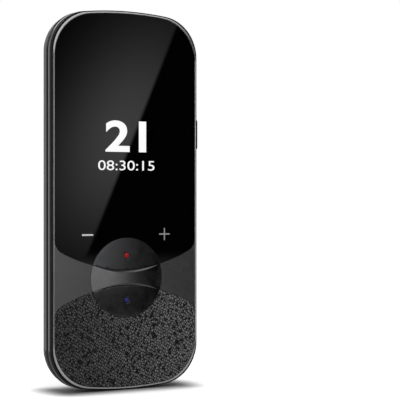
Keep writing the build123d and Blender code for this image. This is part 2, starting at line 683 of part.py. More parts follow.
def shield(side):
    """A pressed can over the chips, open towards the board."""
    width, height, depth = SHIELD_SIZE
    place = Pos(side * SHIELD_X, SHIELD_Z)
    solid = slab(place * Rectangle(width, height), BOARD_FAR, BOARD_FAR + depth)
    inner = Rectangle(width - 2 * SHIELD_WALL, height - 2 * SHIELD_WALL)
    return solid - slab(place * inner, BOARD_FAR, BOARD_FAR + depth - SHIELD_WALL)


def connector_heights():
    rise, height = CONNECTORS
    return BOARD_BOTTOM_Z + rise, BOARD_BOTTOM_Z + rise + height


def board_connectors():
    """One for the display on the board's front, two on its back for the battery and the charger."""
    z = connector_heights()
    half = DISPLAY_FLEX_WIDTH / 2
    width, thickness = BATTERY_PLUG
    middle = sum(WIRE_X) / 2
    front = block((-half, half), z, (PLATE_FAR + FLEX, BOARD_DEPTH))
    plug = block((middle - width / 2, middle + width / 2), z, (BOARD_FAR, BOARD_FAR + thickness))
    link = block(LINK_X, z, (BOARD_FAR, BOARD_FAR + SOCKET_HEIGHT))
    return Part() + [front, plug, link]


def battery():
    width, height, _ = BATTERY_SIZE
    shape = Pos(0, BATTERY_Z) * RectangleRounded(width, height, BATTERY_CORNER)
    return slab(shape, BATTERY_DEPTH, BATTERY_FAR)


def battery_protection_board():
    side, face = PROTECTION_MARGIN
    half = BATTERY_SIZE[0] / 2 - side
    z = (BATTERY_TOP, BATTERY_TOP + PROTECTION_HEIGHT)
    return block((-half, half), z, (BATTERY_DEPTH + face, BATTERY_FAR - face))


def battery_tape():
    strip = Rectangle(BATTERY_TAPE_WIDTH, BATTERY_SIZE[1] - BATTERY_TAPE_WIDTH)
    shapes = [Pos(side * BATTERY_TAPE_X, BATTERY_Z) * strip for side in (-1, 1)]
    return slab(Sketch() + shapes, PLATE_FAR, BATTERY_DEPTH)


def battery_lead():
    """Two short wires from the protection board to the connector."""
    low, top = BATTERY_TOP + PROTECTION_HEIGHT, connector_heights()[0]
    wires = []
    for x in WIRE_X:
        origin = (x, FRONT_Y + BOARD_FAR + BATTERY_PLUG[1] / 2, MIDDLE + low)
        wires.append(extrude(Plane(origin) * Circle(WIRE_RADIUS), top - low))
    return Part() + wires


def usb_port():
    """A shell with a rounded mouth and a tongue inside."""
    width, length, height = USB_SIZE
    middle_y = FRONT_Y + USB_DEPTH + height / 2
    plane = Plane(origin=(0, middle_y, USB_SINK), x_dir=(1, 0, 0), z_dir=(0, 0, 1))
    shell = extrude(plane * usb_section(0), length)
    mouth = extrude(plane * usb_section(USB_WALL), length - 1)
    tongue = extrude(plane * Rectangle(width - 8 * USB_WALL, USB_TONGUE), length)
    return shell - mouth + tongue


def usb_section(inset):
    width, _, height = USB_SIZE
    return RectangleRounded(width - 2 * inset, height - 2 * inset, 0.45 * (height - 2 * inset))


def charging_board():
    shape = Pos(0, CHARGING_Z) * Rectangle(*CHARGING_SIZE)
    solid = slab(shape, CHARGING_NEAR, CHARGING_FAR)
    for x, z in charging_screw_places():
        solid -= disc(x, z, SHANK_RADIUS + THREAD_GAP, CHARGING_NEAR, CHARGING_FAR)
    return solid


def link_flex():
    """From the charging board over the battery's back to the main board."""
    board_edge = CHARGING_Z + CHARGING_SIZE[1] / 2
    rise = (board_edge, board_edge + FLEX)
    fall = BATTERY_TOP + PROTECTION_HEIGHT + FLEX
    landing = BOARD_FAR + SOCKET_HEIGHT
    back = BATTERY_FAR + FLEX
    tail = (LINK_X[0], LINK_TAIL_X)
    strip = block(tail, (board_edge - LINK_TAIL, rise[1]), (CHARGING_FAR, CHARGING_FAR + FLEX))
    strip += block(LINK_X, rise, (CHARGING_FAR, back))
    strip += block(LINK_X, (board_edge, fall + FLEX), (BATTERY_FAR, back))
    strip += block(LINK_X, (fall, fall + FLEX), (landing, back))
    return strip + block(LINK_X, (fall, connector_heights()[1]), (landing, landing + FLEX))


def screws(places, seat, tip):
    """Pan-head screws driven from the back, from a seat to the depth of the tip."""
    group = Part()
    for x, z in places:
        group += disc(x, z, HEAD_RADIUS, seat, seat + HEAD_THICKNESS)
        group += disc(x, z, SHANK_RADIUS, tip, seat)
    return group


# ---- sound ----
def speaker_section(inset):
    width, height, _ = SPEAKER_SIZE
    shape = RectangleRounded(width - 2 * inset, height - 2 * inset, SPEAKER_CORNER)
    return Pos(0, SPEAKER_Z) * shape


def speaker_housing():
    """A box open to the back, on two feet that stand on the main board."""
    rear = SPEAKER_DEPTH + SPEAKER_SIZE[2]
    solid = slab(speaker_section(0), SPEAKER_DEPTH, rear)
    solid -= slab(speaker_section(SPEAKER_WALL), SPEAKER_DEPTH + SPEAKER_FLOOR, rear)
    for side in (-1, 1):
        solid += disc(side * SPEAKER_FEET_X, SPEAKER_Z, BOSS_RADIUS, BOARD_FAR, SPEAKER_DEPTH)
    return solid


def speaker_driver():
    """A flat driver with its cone sunk in its back."""
    rear = SPEAKER_DEPTH + SPEAKER_SIZE[2]
    body = speaker_section(SPEAKER_WALL + DRIVER_GAP)
    cone = speaker_section(2.5 * SPEAKER_WALL)
    return slab(body, SPEAKER_DEPTH + SPEAKER_FLOOR, rear) - slab(cone, rear - CONE_DEPTH, rear)


def speaker_gasket():
    ring = speaker_section(0) - speaker_section(SPEAKER_WALL)
    return slab(ring, SPEAKER_DEPTH + SPEAKER_SIZE[2], INNER_BACK)


def speaker_mesh():
    shape = speaker_section(SPEAKER_WALL + DRIVER_GAP)
    return slab(shape, INNER_BACK - MESH_THICKNESS, INNER_BACK)


# ---- camera ----
def camera_ring():
    """A flange let into the back, a collar through the cover and a lip under the window."""
    seat = BODY_DEPTH - RING_FLANGE
    lip_depth = BODY_DEPTH - WINDOW_SINK - WINDOW_THICKNESS
    solid = disc(0, CAMERA_Z, RING_RADIUS, seat, BODY_DEPTH)
    solid = fillet(solid.edges().group_by(Axis.Y)[-1], RING_ROUND)
    solid += disc(0, CAMERA_Z, RING_COLLAR, INNER_BACK, seat)
    solid -= disc(0, CAMERA_Z, RING_BORE, lip_depth, BODY_DEPTH)
    return solid - disc(0, CAMERA_Z, RING_LIP, INNER_BACK, BODY_DEPTH)


def camera_window():
    rear = BODY_DEPTH - WINDOW_SINK
    return disc(0, CAMERA_Z, RING_BORE - RING_GAP, rear - WINDOW_THICKNESS, rear)


def camera_module():
    half = CAMERA_SIZE / 2
    z = (CAMERA_Z - half, CAMERA_Z + half)
    return block((-half, half), z, (BOARD_FAR, barrel_near()))


def barrel_near():
    return INNER_BACK - BARREL_GAP - BARREL_LENGTH


def camera_barrel():
    near = barrel_near()
    rear = near + BARREL_LENGTH
    solid = disc(0, CAMERA_Z, BARREL_RADIUS, near, rear)
    return solid - disc(0, CAMERA_Z, LENS_RADIUS + RING_GAP, near + LENS_SEAT, rear)


def camera_lens():
    """The domed front element, seated in the barrel."""
    seat = barrel_near() + LENS_SEAT
    solid = disc(0, CAMERA_Z, LENS_RADIUS, seat, seat + LENS_THICKNESS)
    return fillet(solid.edges().group_by(Axis.Y)[-1], 0.8 * LENS_THICKNESS)


def camera_flex():
    """A plug on the main board and a short tail up to the camera."""
    width, height = CAMERA_PLUG
    top = CAMERA_Z - CAMERA_SIZE / 2
    low = top - 2 * height
    deck = BOARD_FAR + SOCKET_HEIGHT
    plug = block((-width / 2, width / 2), (low, low + height), (BOARD_FAR, deck))
    half = width / 2 - 0.5
    return plug + block((-half, half), (low, top), (deck, deck + FLEX))


def antenna_flex():
    """Stuck inside the cover, over the speaker."""
    width, height = ANTENNA_SIZE
    low = SPEAKER_Z + SPEAKER_SIZE[1] / 2 + ANTENNA_GAP
    return block((-width / 2, width / 2), (low, low + height), (INNER_BACK - FLEX, INNER_BACK))


# ---- the assembly ----
PARTS = {
    "front_bezel": front_bezel(),
    "cover_glass": cover_glass(),
    "glass_tape": tape(glass_shape()),
    "control_plate": control_plate(),
    "plate_tape": tape(plate_shape()),
    "leather_panel": leather_panel(),
    "leather_tape": tape(leather_shape()),
    "red_key": talk_key(1),
    "red_light_pipe": light_pipe(1),
    "blue_key": talk_key(-1),
    "blue_light_pipe": light_pipe(-1),
    "key_pad": key_pad(),
    "key_switches": key_switches(),
    "key_leds": key_leds(),
    "key_board": key_board(),
    "display_panel": display_layer(PANEL_THICKNESS, PANEL_GLASS),
    "display_backlight": display_layer(PANEL_THICKNESS + PANEL_GLASS, BACKLIGHT, DISPLAY_GAP),
    "display_foam": display_layer(DISPLAY_BACK, PLATE_NEAR - DISPLAY_BACK, 2 * FOAM_MARGIN),
    "display_flex": display_flex(),
    "lanyard_bar": eye_bar(),
    "power_key": power_key(),
    "power_switch": power_switch(),
    "side_flex": side_flex(),
    "microphone": microphone(),
    "mid_frame": mid_frame(),
    "frame_screws": screws(frame_screw_places(), PLATE_FAR, FLOOR_FAR + TIP_GAP),
    "main_board": main_board(),
    "board_screws": screws(BOARD_SCREWS, BOARD_FAR, PLATE_NEAR + TIP_GAP),
    "processor_shield": shield(-1),
    "radio_shield": shield(1),
    "board_connectors": board_connectors(),
    "battery": battery(),
    "battery_protection_board": battery_protection_board(),
    "battery_tape": battery_tape(),
    "battery_lead": battery_lead(),
    "usb_port": usb_port(),
    "charging_board": charging_board(),
    "charging_screws": screws(charging_screw_places(), CHARGING_FAR, PLATE_FAR + TIP_GAP),
    "link_flex": link_flex(),
    "speaker_housing": speaker_housing(),
    "speaker_driver": speaker_driver(),
    "speaker_gasket": speaker_gasket(),
    "speaker_mesh": speaker_mesh(),
    "camera_module": camera_module(),
    "camera_barrel": camera_barrel(),
    "camera_lens": camera_lens(),
    "camera_flex": camera_flex(),
    "camera_window": camera_window(),
    "camera_ring": camera_ring(),
    "antenna_flex": antenna_flex(),
    "rear_cover": rear_cover(),
}

os.makedirs("parts", exist_ok=True)
for name, solid in PARTS.items():
    export_step(solid, f"parts/{name}.step")
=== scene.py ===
from functools import partialmethod
from math import asin, cos, pi, radians, sin, sqrt

import bmesh
import bpy
from bpy.props import FloatProperty, FloatVectorProperty, IntProperty, StringProperty
from bpy.types import Operator, Panel, PropertyGroup
from mathutils import Matrix, Vector


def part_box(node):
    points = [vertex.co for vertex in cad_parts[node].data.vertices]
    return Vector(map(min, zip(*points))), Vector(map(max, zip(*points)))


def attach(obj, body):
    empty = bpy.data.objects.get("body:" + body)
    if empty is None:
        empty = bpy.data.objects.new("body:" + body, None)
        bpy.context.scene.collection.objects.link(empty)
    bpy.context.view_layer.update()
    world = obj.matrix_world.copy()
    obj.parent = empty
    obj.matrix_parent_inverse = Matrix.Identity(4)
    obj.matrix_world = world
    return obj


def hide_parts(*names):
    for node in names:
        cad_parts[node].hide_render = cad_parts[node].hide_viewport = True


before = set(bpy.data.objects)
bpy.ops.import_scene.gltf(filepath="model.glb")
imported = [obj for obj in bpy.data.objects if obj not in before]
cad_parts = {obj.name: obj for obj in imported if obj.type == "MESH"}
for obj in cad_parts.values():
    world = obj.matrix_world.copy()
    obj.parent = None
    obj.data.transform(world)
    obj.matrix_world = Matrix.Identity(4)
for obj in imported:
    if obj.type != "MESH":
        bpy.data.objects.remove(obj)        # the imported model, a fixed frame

bl_info = {
    "name": "Handheld Translator",
    "version": (1, 0, 0),
    "blender": (4, 5, 0),
    "location": "3D View > Sidebar > Translator",
    "description": "Finished pieces, materials and studio for a handheld translator",
    "category": "Object",
}

MM = 0.001
COARSE, FINE = 0.002 * MM, 0.0001 * MM      # how near doubles are

# ---- places that the frame gives: +X is the right side, +Y the back, +Z up ----
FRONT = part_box("cover_glass")[0].y
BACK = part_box("rear_cover")[1].y
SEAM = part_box("rear_cover")[0].y
HALF_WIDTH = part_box("mid_frame")[1].x
HALF_HEIGHT = (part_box("mid_frame")[1].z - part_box("mid_frame")[0].z) / 2
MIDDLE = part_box("mid_frame")[0].z + HALF_HEIGHT
KEYS_HEIGHT = (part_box("blue_key")[0].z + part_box("red_key")[1].z) / 2
LENS_HEIGHT = (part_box("camera_ring")[0].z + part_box("camera_ring")[1].z) / 2
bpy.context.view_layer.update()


# ---- kinds of setting ----
def length(name, size, description):
    """A size that is written in millimetres."""
    kind = {"unit": "LENGTH", "subtype": "DISTANCE", "precision": 5}
    return FloatProperty(name=name, description=description, default=size * MM, **kind)


def turn(name, degrees, description):
    """An angle that is written in degrees."""
    kind = {"unit": "ROTATION", "subtype": "ANGLE"}
    return FloatProperty(name=name, description=description, default=radians(degrees), **kind)


def colour(name, default, description):
    kind = {"size": 3, "min": 0.0, "max": 1.0, "subtype": "COLOR"}
    return FloatVectorProperty(name=name, description=description, default=default, **kind)


def glass_box(name, sizes, description):
    """A place on the glass, from the middle of the body, that is written in millimetres."""
    kind = {"size": 4, "unit": "LENGTH", "precision": 5}
    return FloatVectorProperty(name=name, description=description, default=[s * MM for s in sizes], **kind)


def share(name, default, description):
    return FloatProperty(name=name, description=description, default=default, subtype="FACTOR")


class ShellSizes(PropertyGroup):
    corner_radius: length("Corner radius", 14.5, "Corners of the widest outline")
    end_radius: length("End radius", 131.0, "Shallow arcs of the top and bottom")
    seam_inset: length("Seam inset", 0.6, "Recessed line between the frame and the shell")
    seam_step: length("Seam step", 0.15, "Depth of that line")
    inset: length("Shell inset", 0.15, "Shell's edge in from the widest outline")
    draft: turn("Draft", 21.0, "Slope of the shell's sides")
    wall: length("Wall", 1.2, "Thickness of the shell")
    edge_radius: length("Edge radius", 6.6, "Round between the sides and the flat back")
    hole_radius: length("Sound hole radius", 0.55, "Each hole over the speaker")
    hole_flare: length("Sound hole flare", 0.12, "Chamfer round each hole")
    rim_depth: length("Rim depth", 0.13, "How far down its slope the rim is bright metal")
    band_depth: length("Band depth", 1.82, "Where the flat side band meets the front rib")
    corner_steps: IntProperty(name="Corner steps", description="Facets round one corner", default=28)


class PanelSizes(PropertyGroup):
    glass_edge: length("Glass edge", 0.12, "Round on the front edge of the glass")
    leather_edge: length("Leather edge", 0.2, "Round on the front edge of the grip pad")
    groove_radius: length("Groove radius", 13.9, "Ring that marks the ends of the raised bar")
    groove_width: length("Groove width", 0.14, "Width of that ring")
    groove_depth: length("Groove depth", 0.2, "Depth of that ring")


class KeySizes(PropertyGroup):
    radius: length("Cap radius", 13.8, "Circle round both keys")
    hole_radius: length("Hole radius", 13.9, "Circle that the dome meets the glass on")
    crown: length("Crown", 0.45, "Rise of the keys' common dome")
    arc_radius: length("Arc radius", 45.9, "Edge of each cap along the bar")
    arc_centre: length("Arc centre", 48.6, "From the middle of the keys to the centre of that arc")
    edge: length("Edge round", 0.16, "Round on the edges of the caps")
    flange: length("Flange", 0.65, "Thickness of the flange")
    plunger_radius: length("Plunger radius", 1.5, "Bar that presses the switch")
    plunger_place: length("Plunger place", 4.6, "From the middle of the keys to each plunger")
    pin_gap: length("Pin gap", 0.02, "Between a cap and its light pin")


class LensSizes(PropertyGroup):
    flange: length("Ring flange", 0.4, "Thickness of the bright flange")
    ring_round: length("Ring round", 0.3, "Outer edge of the flange")
    ring_collar: length("Ring collar", 4.6, "Radius of the collar behind the flange")
    ring_lip: length("Ring lip", 3.5, "Radius of the opening under the window")
    barrel_step: length("Barrel step", 0.16, "Height of the steps on the barrel's face")


class ScreenSizes(PropertyGroup):
    figures: StringProperty(name="Figures", description="Large plain numbers", default="21")
    figures_box: glass_box("Figures' box", (-8.2, 15.9, 16.7, 10.9), "Left, width, low and height of these")
    clock: StringProperty(name="Clock", description="Small plain numbers", default="08:30:15")
    clock_box: glass_box("Clock's box", (-11.0, 22.0, 10.3, 3.4), "Left, width, low and height of these")
    sign_place: length("Sign place", 15.0, "From the middle to the minus and the plus")
    sign_height: length("Sign height", -12.0, "Height of both signs from the middle of the body")
    sign_size: length("Sign size", 4.3, "Width of both signs")
    minus_stroke: length("Minus stroke", 0.58, "Height of the minus")
    plus_stroke: length("Plus stroke", 0.45, "Width of the plus's strokes")
    film: length("Film", 0.02, "Thickness of what is drawn on the glass")
    bold: share("Bold", 0.025, "How much the large numbers' strokes are thickened")


class Finishes(PropertyGroup):
    shell: colour("Shell", (0.006, 0.006, 0.0065), "Black gloss of the casing")
    band: colour("Band", (0.004, 0.004, 0.004), "Matt black of the flat side band")
    rim: colour("Rim", (0.5, 0.5, 0.51), "Satin metal round the front panels")
    glass: colour("Glass", (0.0006, 0.0006, 0.0007), "Black glass")
    plate: colour("Plate", (0.2, 0.2, 0.205), "Satin metal between the keys")
    keys: colour("Keys", (0.08, 0.081, 0.084), "Dark satin caps")
    leather: colour("Leather", (0.045, 0.045, 0.045), "Grained grip pad")
    red: colour("Red pin", (0.21, 0.002, 0.002), "Light pin of the upper key")
    blue: colour("Blue pin", (0.006, 0.01, 0.08), "Light pin of the lower key")
    bright: colour("Bright metal", (0.82, 0.82, 0.84), "Ring round the camera")
    # These three are painted reflections of the lens coating, one colour for each side.
    top_reflection_tint: colour("Lens top", (0.8, 0.25, 0.02), "Lens coating towards the top")
    side_reflection_tint: colour("Lens side", (0.2, 0.08, 0.45), "Lens coating towards the right side of the body")
    low_reflection_tint: colour("Lens low", (0.34, 0.28, 0.03), "Lens coating towards the bottom")
    figures: colour("Figures", (1.0, 1.0, 1.0), "Lit numbers")


class StudioSettings(PropertyGroup):
    camera_left: length("Camera left", 223.9, "Camera to the left of the object's middle")
    camera_near: length("Camera near", 434.3, "Camera in front of the glass")
    heading: turn("Heading", 30.27, "Turn of the level camera to the right")
    lens: FloatProperty(name="Lens", description="Focal length in millimetres", default=126.2)
    floor_radius: length("Floor radius", 110.0, "Radius of the pale floor")
    foot_x: length("Foot, half width", 21.0, "Where the body meets the floor, to each side")
    foot_y: length("Foot, half depth", 5.0, "Where it meets the floor, to front and back")
    # These two set the painted shadow that the floor shows the camera round the foot.
    painted_shadow_reach: length("Foot shade", 13.0, "How far the deepest shade reaches round the foot")
    painted_shadow_level: share("Foot dark", 0.2, "Level of the floor right at the foot, to the camera")
    floor_white: share("Floor white", 1.15, "Level of the floor further out, to the camera")
    floor_bounce: share("Floor bounce", 0.5, "Level of the floor to everything else")
    ambient: share("Ambient", 0.86, "Level of the light from all sides")
    lean: share("Lean", 0.8, "How much more of it comes from the upper left")


# ---- working by hand: selections and edits ----
def close_edit():
    bpy.ops.object.mode_set(mode="OBJECT")


def deselect():
    if bpy.context.mode != "OBJECT":
        close_edit()
    bpy.ops.object.select_all(action="DESELECT")


def activate(piece):
    deselect()
    piece.select_set(True)
    bpy.context.view_layer.objects.active = piece


def choose(piece, wanted, kind="FACE"):
    """Opens a piece for editing with the faces, edges or vertices selected that are wanted."""
    if bpy.context.mode != "EDIT_MESH":
        activate(piece)
        bpy.ops.object.mode_set(mode="EDIT")
    bpy.ops.mesh.select_mode(type=kind)
    bpy.ops.mesh.select_all(action="DESELECT")
    mesh = bmesh.from_edit_mesh(piece.data)
    parts = {"VERT": mesh.verts, "EDGE": mesh.edges, "FACE": mesh.faces}[kind]
    for part in parts:
        part.select_set(wanted(part))
    bmesh.update_edit_mesh(piece.data)


def everything(_part):
    return True


def leave_edit(piece, merge=1e-6):
    """Merges doubles, turns all faces outwards and ends the edit."""
    choose(piece, everything, "VERT")
    bpy.ops.mesh.remove_doubles(threshold=merge)
    bpy.ops.mesh.normals_make_consistent(inside=False)
    close_edit()


def settle(piece, name=None):
    """Names a piece and puts its place into its mesh."""
    activate(piece)
    bpy.ops.object.transform_apply(location=True, rotation=True, scale=True)
    if name:
        piece.name = name
        piece.data.name = name
    return piece


def modified(piece, kind, **settings):
    """Adds a modifier with its settings and applies it."""
    activate(piece)
    bpy.ops.object.modifier_add(type=kind)
    modifier = piece.modifiers[-1]
    for setting, value in settings.items():
        setattr(modifier, setting, value)
    bpy.ops.object.modifier_apply(modifier=modifier.name)
    return piece


def shaped_by(piece, tool, operation="DIFFERENCE"):
    """Cuts a piece with a tool, or adds the tool to it, and throws the tool away."""
    modified(piece, "BOOLEAN", operation=operation, object=tool, solver="EXACT")
    bpy.data.objects.remove(tool)
    return piece


def soften(piece, angle):
    """Smooth shading with sharp edges past an angle, led by the large faces."""
    activate(piece)
    bpy.ops.object.shade_smooth_by_angle(angle=radians(angle))
    return modified(piece, "WEIGHTED_NORMAL", keep_sharp=True, weight=60)


def near(value, target):
    """Whether two places on one axis are the same, give or take a little."""
    return abs(value - target) < 0.02 * MM


# ---- starting shapes ----
def chain(points, origin=(0.0, 0.0, 0.0)):
    """A line of edges through points, drawn vertex by vertex, open for editing."""
    deselect()
    bpy.ops.mesh.primitive_plane_add(size=MM, location=origin)
    piece = bpy.context.object
    bpy.ops.object.mode_set(mode="EDIT")
    bpy.ops.mesh.select_mode(type="VERT")
    bpy.ops.mesh.select_all(action="SELECT")
    bpy.ops.mesh.merge(type="CENTER")
    bpy.ops.transform.translate(value=Vector(points[0]) - Vector(origin))
    for start, end in zip(points, points[1:]):
        bpy.ops.mesh.extrude_vertices_move(TRANSFORM_OT_translate={"value": Vector(end) - Vector(start)})
    bpy.ops.mesh.select_all(action="SELECT")
    return piece


def turned(name, outline, height, steps=96):
    """A lathe piece about a line along Y: the outline is a list of (radius, y)."""
    piece = chain([(radius, y, height) for radius, y in outline])
    bpy.ops.mesh.spin(steps=steps, angle=2 * pi, center=(0, 0, height), axis=(0, -1, 0))
    leave_edit(piece)
    return settle(piece, name)


def arc(centre, radius, start, end, steps):
    """Points (radius or inset, y) on an arc, with angles in degrees: 0 is outwards and 90 is back."""
    angles = [radians(start + (end - start) * step / steps) for step in range(steps + 1)]
    return [(centre[0] + radius * cos(angle), centre[1] + radius * sin(angle)) for angle in angles]


def swept(name, section, sizes):
    """A section carried round the body's outline: (inset, y) points, closed by a face at each end."""
    corner_x = HALF_WIDTH - sizes.corner_radius
    end_centre = HALF_HEIGHT - sizes.end_radius
    between = sizes.end_radius - sizes.corner_radius
    corner_z = end_centre + sqrt(between**2 - corner_x**2)
    short_turn = asin(corner_x / between)
    piece = chain([(HALF_WIDTH - inset, y, MIDDLE) for inset, y in section], (0, 0, MIDDLE))
    bpy.ops.mesh.extrude_region_move(TRANSFORM_OT_translate={"value": (0, 0, corner_z)})
    bpy.ops.mesh.spin(
        steps=sizes.corner_steps,
        angle=pi / 2 - short_turn,
        center=(corner_x, 0, MIDDLE + corner_z),
        axis=(0, 1, 0),
    )
    bpy.ops.mesh.spin(steps=6, angle=short_turn, center=(0, 0, MIDDLE + end_centre), axis=(0, 1, 0))
    close_edit()
    modified(piece, "MIRROR", use_axis=(True, False, True), merge_threshold=1e-6)
    for y in (section[0][1], section[-1][1]):
        choose(piece, lambda edge: edge.is_boundary and near(edge.verts[0].co.y, y), "EDGE")
        bpy.ops.mesh.edge_face_add()
    leave_edit(piece)
    return settle(piece, name)


def box_between(low, high):
    """A plain block, as a cutting tool."""
    deselect()
    middle = [(a + b) / 2 for a, b in zip(low, high)]
    size = [b - a for a, b in zip(low, high)]
    bpy.ops.mesh.primitive_cube_add(size=1, location=middle, scale=size)
    return settle(bpy.context.object)


def copy_of(node, name):
    """A copy of a CAD piece, with one skin and flat faces in one piece each."""
    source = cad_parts[node]
    piece = source.copy()
    piece.data = source.data.copy()
    piece.name = name
    piece.data.name = name
    for key in list(piece.keys()):
        if key.startswith("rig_"):
            del piece[key]
    piece.parent = None
    piece.matrix_world = Matrix.Identity(4)
    bpy.context.scene.collection.objects.link(piece)
    activate(piece)
    if piece.data.has_custom_normals:
        bpy.ops.mesh.customdata_custom_splitnormals_clear()
    choose(piece, everything, "VERT")
    bpy.ops.mesh.remove_doubles(threshold=COARSE)
    bpy.ops.mesh.dissolve_limited(angle_limit=radians(0.05))
    bpy.ops.mesh.normals_make_consistent(inside=False)
    close_edit()
    return piece


def bevel(piece, wanted, width):
    """Rounds the edges that are wanted."""
    choose(piece, wanted, "EDGE")
    bpy.ops.mesh.bevel(offset=width, offset_type="OFFSET", segments=3, clamp_overlap=False)
    close_edit()
    return piece


def round_front(piece, y, width):
    """Rounds the edges of a piece's front face, which lies at y."""

    def front_edge(edge):
        on_front = all(near(vert.co.y, y) for vert in edge.verts)
        return on_front and edge.calc_face_angle(0.0) > radians(40)

    return bevel(piece, front_edge, width)


def fitted(piece, slot, material, *nodes, body="housing"):
    """Gives a finished piece its material and its body, and hides the nodes that it stands for. The slot is
    not used.
    """
    piece.data.materials.clear()
    piece.data.materials.append(material)
    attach(piece, body)
    if nodes:
        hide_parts(*nodes)
    return piece


def finish_faces(piece, material, y):
    """Gives one more material to the faces that lie wholly in front of y."""
    piece.data.materials.append(material)
    last = len(piece.data.materials) - 1
    limit = y + 0.01 * MM
    for face in piece.data.polygons:
        if all(piece.data.vertices[corner].co.y < limit for corner in face.vertices):
            face.material_index = last


# ---- materials ----
EVEN = (1.0, 1.0, 1.0)          # a pattern that is not drawn out
NOISE_RANGE = (0.3, 0.7)        # where most of a noise texture's values lie


class Wiring:
    """Adds nodes to the tree of a material or world, each joined to what it reads."""

    def __init__(self, owner, shader="Principled BSDF"):
        self.owner = owner
        self.tree = owner.node_tree
        self.shader = self.tree.nodes[shader]

    def plug(self, value, socket):
        if isinstance(value, bpy.types.NodeSocket):
            self.tree.links.new(value, socket)
        else:
            socket.default_value = value

    def set(self, socket, value):
        """Gives the shader a plain value or what another node makes."""
        self.plug(value, self.shader.inputs[socket])

    def node(self, kind, inputs=None, **settings):
        made = self.tree.nodes.new(kind)
        for setting, value in settings.items():
            setattr(made, setting, value)
        for socket, value in (inputs or {}).items():
            self.plug(value, made.inputs[socket])
        return made

    def math(self, operation, *values):
        return self.node("ShaderNodeMath", dict(enumerate(values)), operation=operation).outputs[0]

    plus = partialmethod(math, "ADD")
    minus = partialmethod(math, "SUBTRACT")
    times = partialmethod(math, "MULTIPLY")
    over = partialmethod(math, "DIVIDE")
    larger = partialmethod(math, "MAXIMUM")

    def square(self, value):
        return self.math("POWER", value, 2.0)

    def distance(self, across, along):
        return self.math("SQRT", self.plus(self.square(across), self.square(along)))

    def ramp(self, value, start, end, low=0.0, high=1.0):
        """A smooth change from low to high while the value goes from start to end."""
        inputs = {"Value": value, "From Min": start, "From Max": end, "To Min": low, "To Max": high}
        made = self.node("ShaderNodeMapRange", inputs, interpolation_type="SMOOTHSTEP")
        return made.outputs["Result"]

    def window(self, value, start, full, fade, end):
        """1 between full and fade, and smoothly down to 0 at start and end."""
        return self.times(self.ramp(value, start, full), self.ramp(value, end, fade))

    def mix(self, factor, first, second):
        inputs = {0: factor, 6: first, 7: second}
        return self.node("ShaderNodeMix", inputs, data_type="RGBA").outputs[2]

    def shades(self, factor, base, first, second):
        """A colour times first, changing to the same colour times second."""
        return self.mix(factor, shaded(base, first), shaded(base, second))

    def place(self, stretch=EVEN, rotation=(0.0, 0.0, 0.0)):
        """The object's own coordinates, stretched or turned."""
        coords = self.node("ShaderNodeTexCoord").outputs["Object"]
        scale = tuple(1 / s for s in stretch)
        inputs = {"Vector": coords, "Scale": scale, "Rotation": rotation}
        return self.node("ShaderNodeMapping", inputs, vector_type="TEXTURE").outputs[0]

    def parts(self, vector=None):
        """The x, y and z of a vector, or else of the object's own coordinates."""
        return self.node("ShaderNodeSeparateXYZ", {0: self.place() if vector is None else vector}).outputs

    def noise(self, size, detail=3.0, rough=0.5, place=None):
        vector = self.place() if place is None else place
        inputs = {"Vector": vector, "Scale": 1 / size, "Detail": detail, "Roughness": rough}
        return self.node("ShaderNodeTexNoise", inputs).outputs[0]

    def bump(self, height, depth, strength=1.0, normal=None):
        inputs = {"Height": height, "Distance": depth, "Strength": strength}
        if normal is not None:
            inputs["Normal"] = normal
        return self.node("ShaderNodeBump", inputs).outputs[0]


def surface(name, base, roughness, metallic=0.0, **sockets):
    """The wiring of a new material, with its plain values on the shader itself."""
    material = bpy.data.materials.new(name)
    material.use_nodes = True
    wires = Wiring(material)
    wires.set("Base Color", (*base, 1.0))
    wires.set("Roughness", roughness)
    wires.set("Metallic", metallic)
    for socket, value in sockets.items():
        wires.set(socket.replace("_", " "), value)
    return wires


def shaded(base, amount):
    """A colour made lighter or darker."""
    return (*[min(1.0, max(0.0, channel * amount)) for channel in base], 1.0)


def grey(level):
    return (level, level, level, 1.0)


def uneven(wires, size, shade=0.1, spread=0.05, bump=0.0, stretch=EVEN):
    """Noise of one size, which shifts the colour and the roughness and raises the surface."""
    noise = wires.noise(size, place=wires.place(stretch))
    base = tuple(wires.shader.inputs["Base Color"].default_value)[:3]
    middle = wires.shader.inputs["Roughness"].default_value
    smooth, rough = max(0.0, middle - spread), min(1.0, middle + spread)
    wires.set("Base Color", wires.shades(noise, base, 1 - shade, 1 + shade))
    wires.set("Roughness", wires.ramp(noise, *NOISE_RANGE, smooth, rough))
    if bump:
        wires.set("Normal", wires.bump(noise, bump))
    return wires.owner


def dusted(wires, base, size, start, end, light):
    """Specks of dust, lighter than the base where a fine noise is high."""
    specks = wires.ramp(wires.noise(size, 2.0), start, end)
    wires.set("Base Color", wires.shades(specks, base, 1.0, light))
    return wires.owner


def gloss_black(name, base, softer=False):
    """Moulded gloss: a faint waviness, and fine rub marks or clouds that only the highlights show."""
    wires = surface(name, base, 0.07, IOR=1.5, Coat_Weight=0.2, Coat_Roughness=0.03)
    if softer:
        clouds = wires.noise(6 * MM, 2.0)
        wires.set("Roughness", wires.ramp(clouds, *NOISE_RANGE, 0.08, 0.13))
    else:
        rubs = wires.noise(0.5 * MM, 4.0, 0.6, wires.place((9.0, 1.0, 1.0), (0.0, 0.5, 0.0)))
        wires.set("Roughness", wires.ramp(rubs, 0.35, 0.75, 0.05, 0.12))
    waves = wires.noise(14 * MM, 1.0)
    wires.set("Normal", wires.bump(waves, 0.02 * MM, 0.5))
    return dusted(wires, base, 0.12 * MM, 0.66, 0.74, 1.9)


def matt_band(base):
    """The flat band of the side, a fine matt black."""
    wires = surface("band_black", base, 0.5, Specular_IOR_Level=0.04)
    return uneven(wires, 0.15 * MM, 0.2, 0.06, 0.002 * MM)


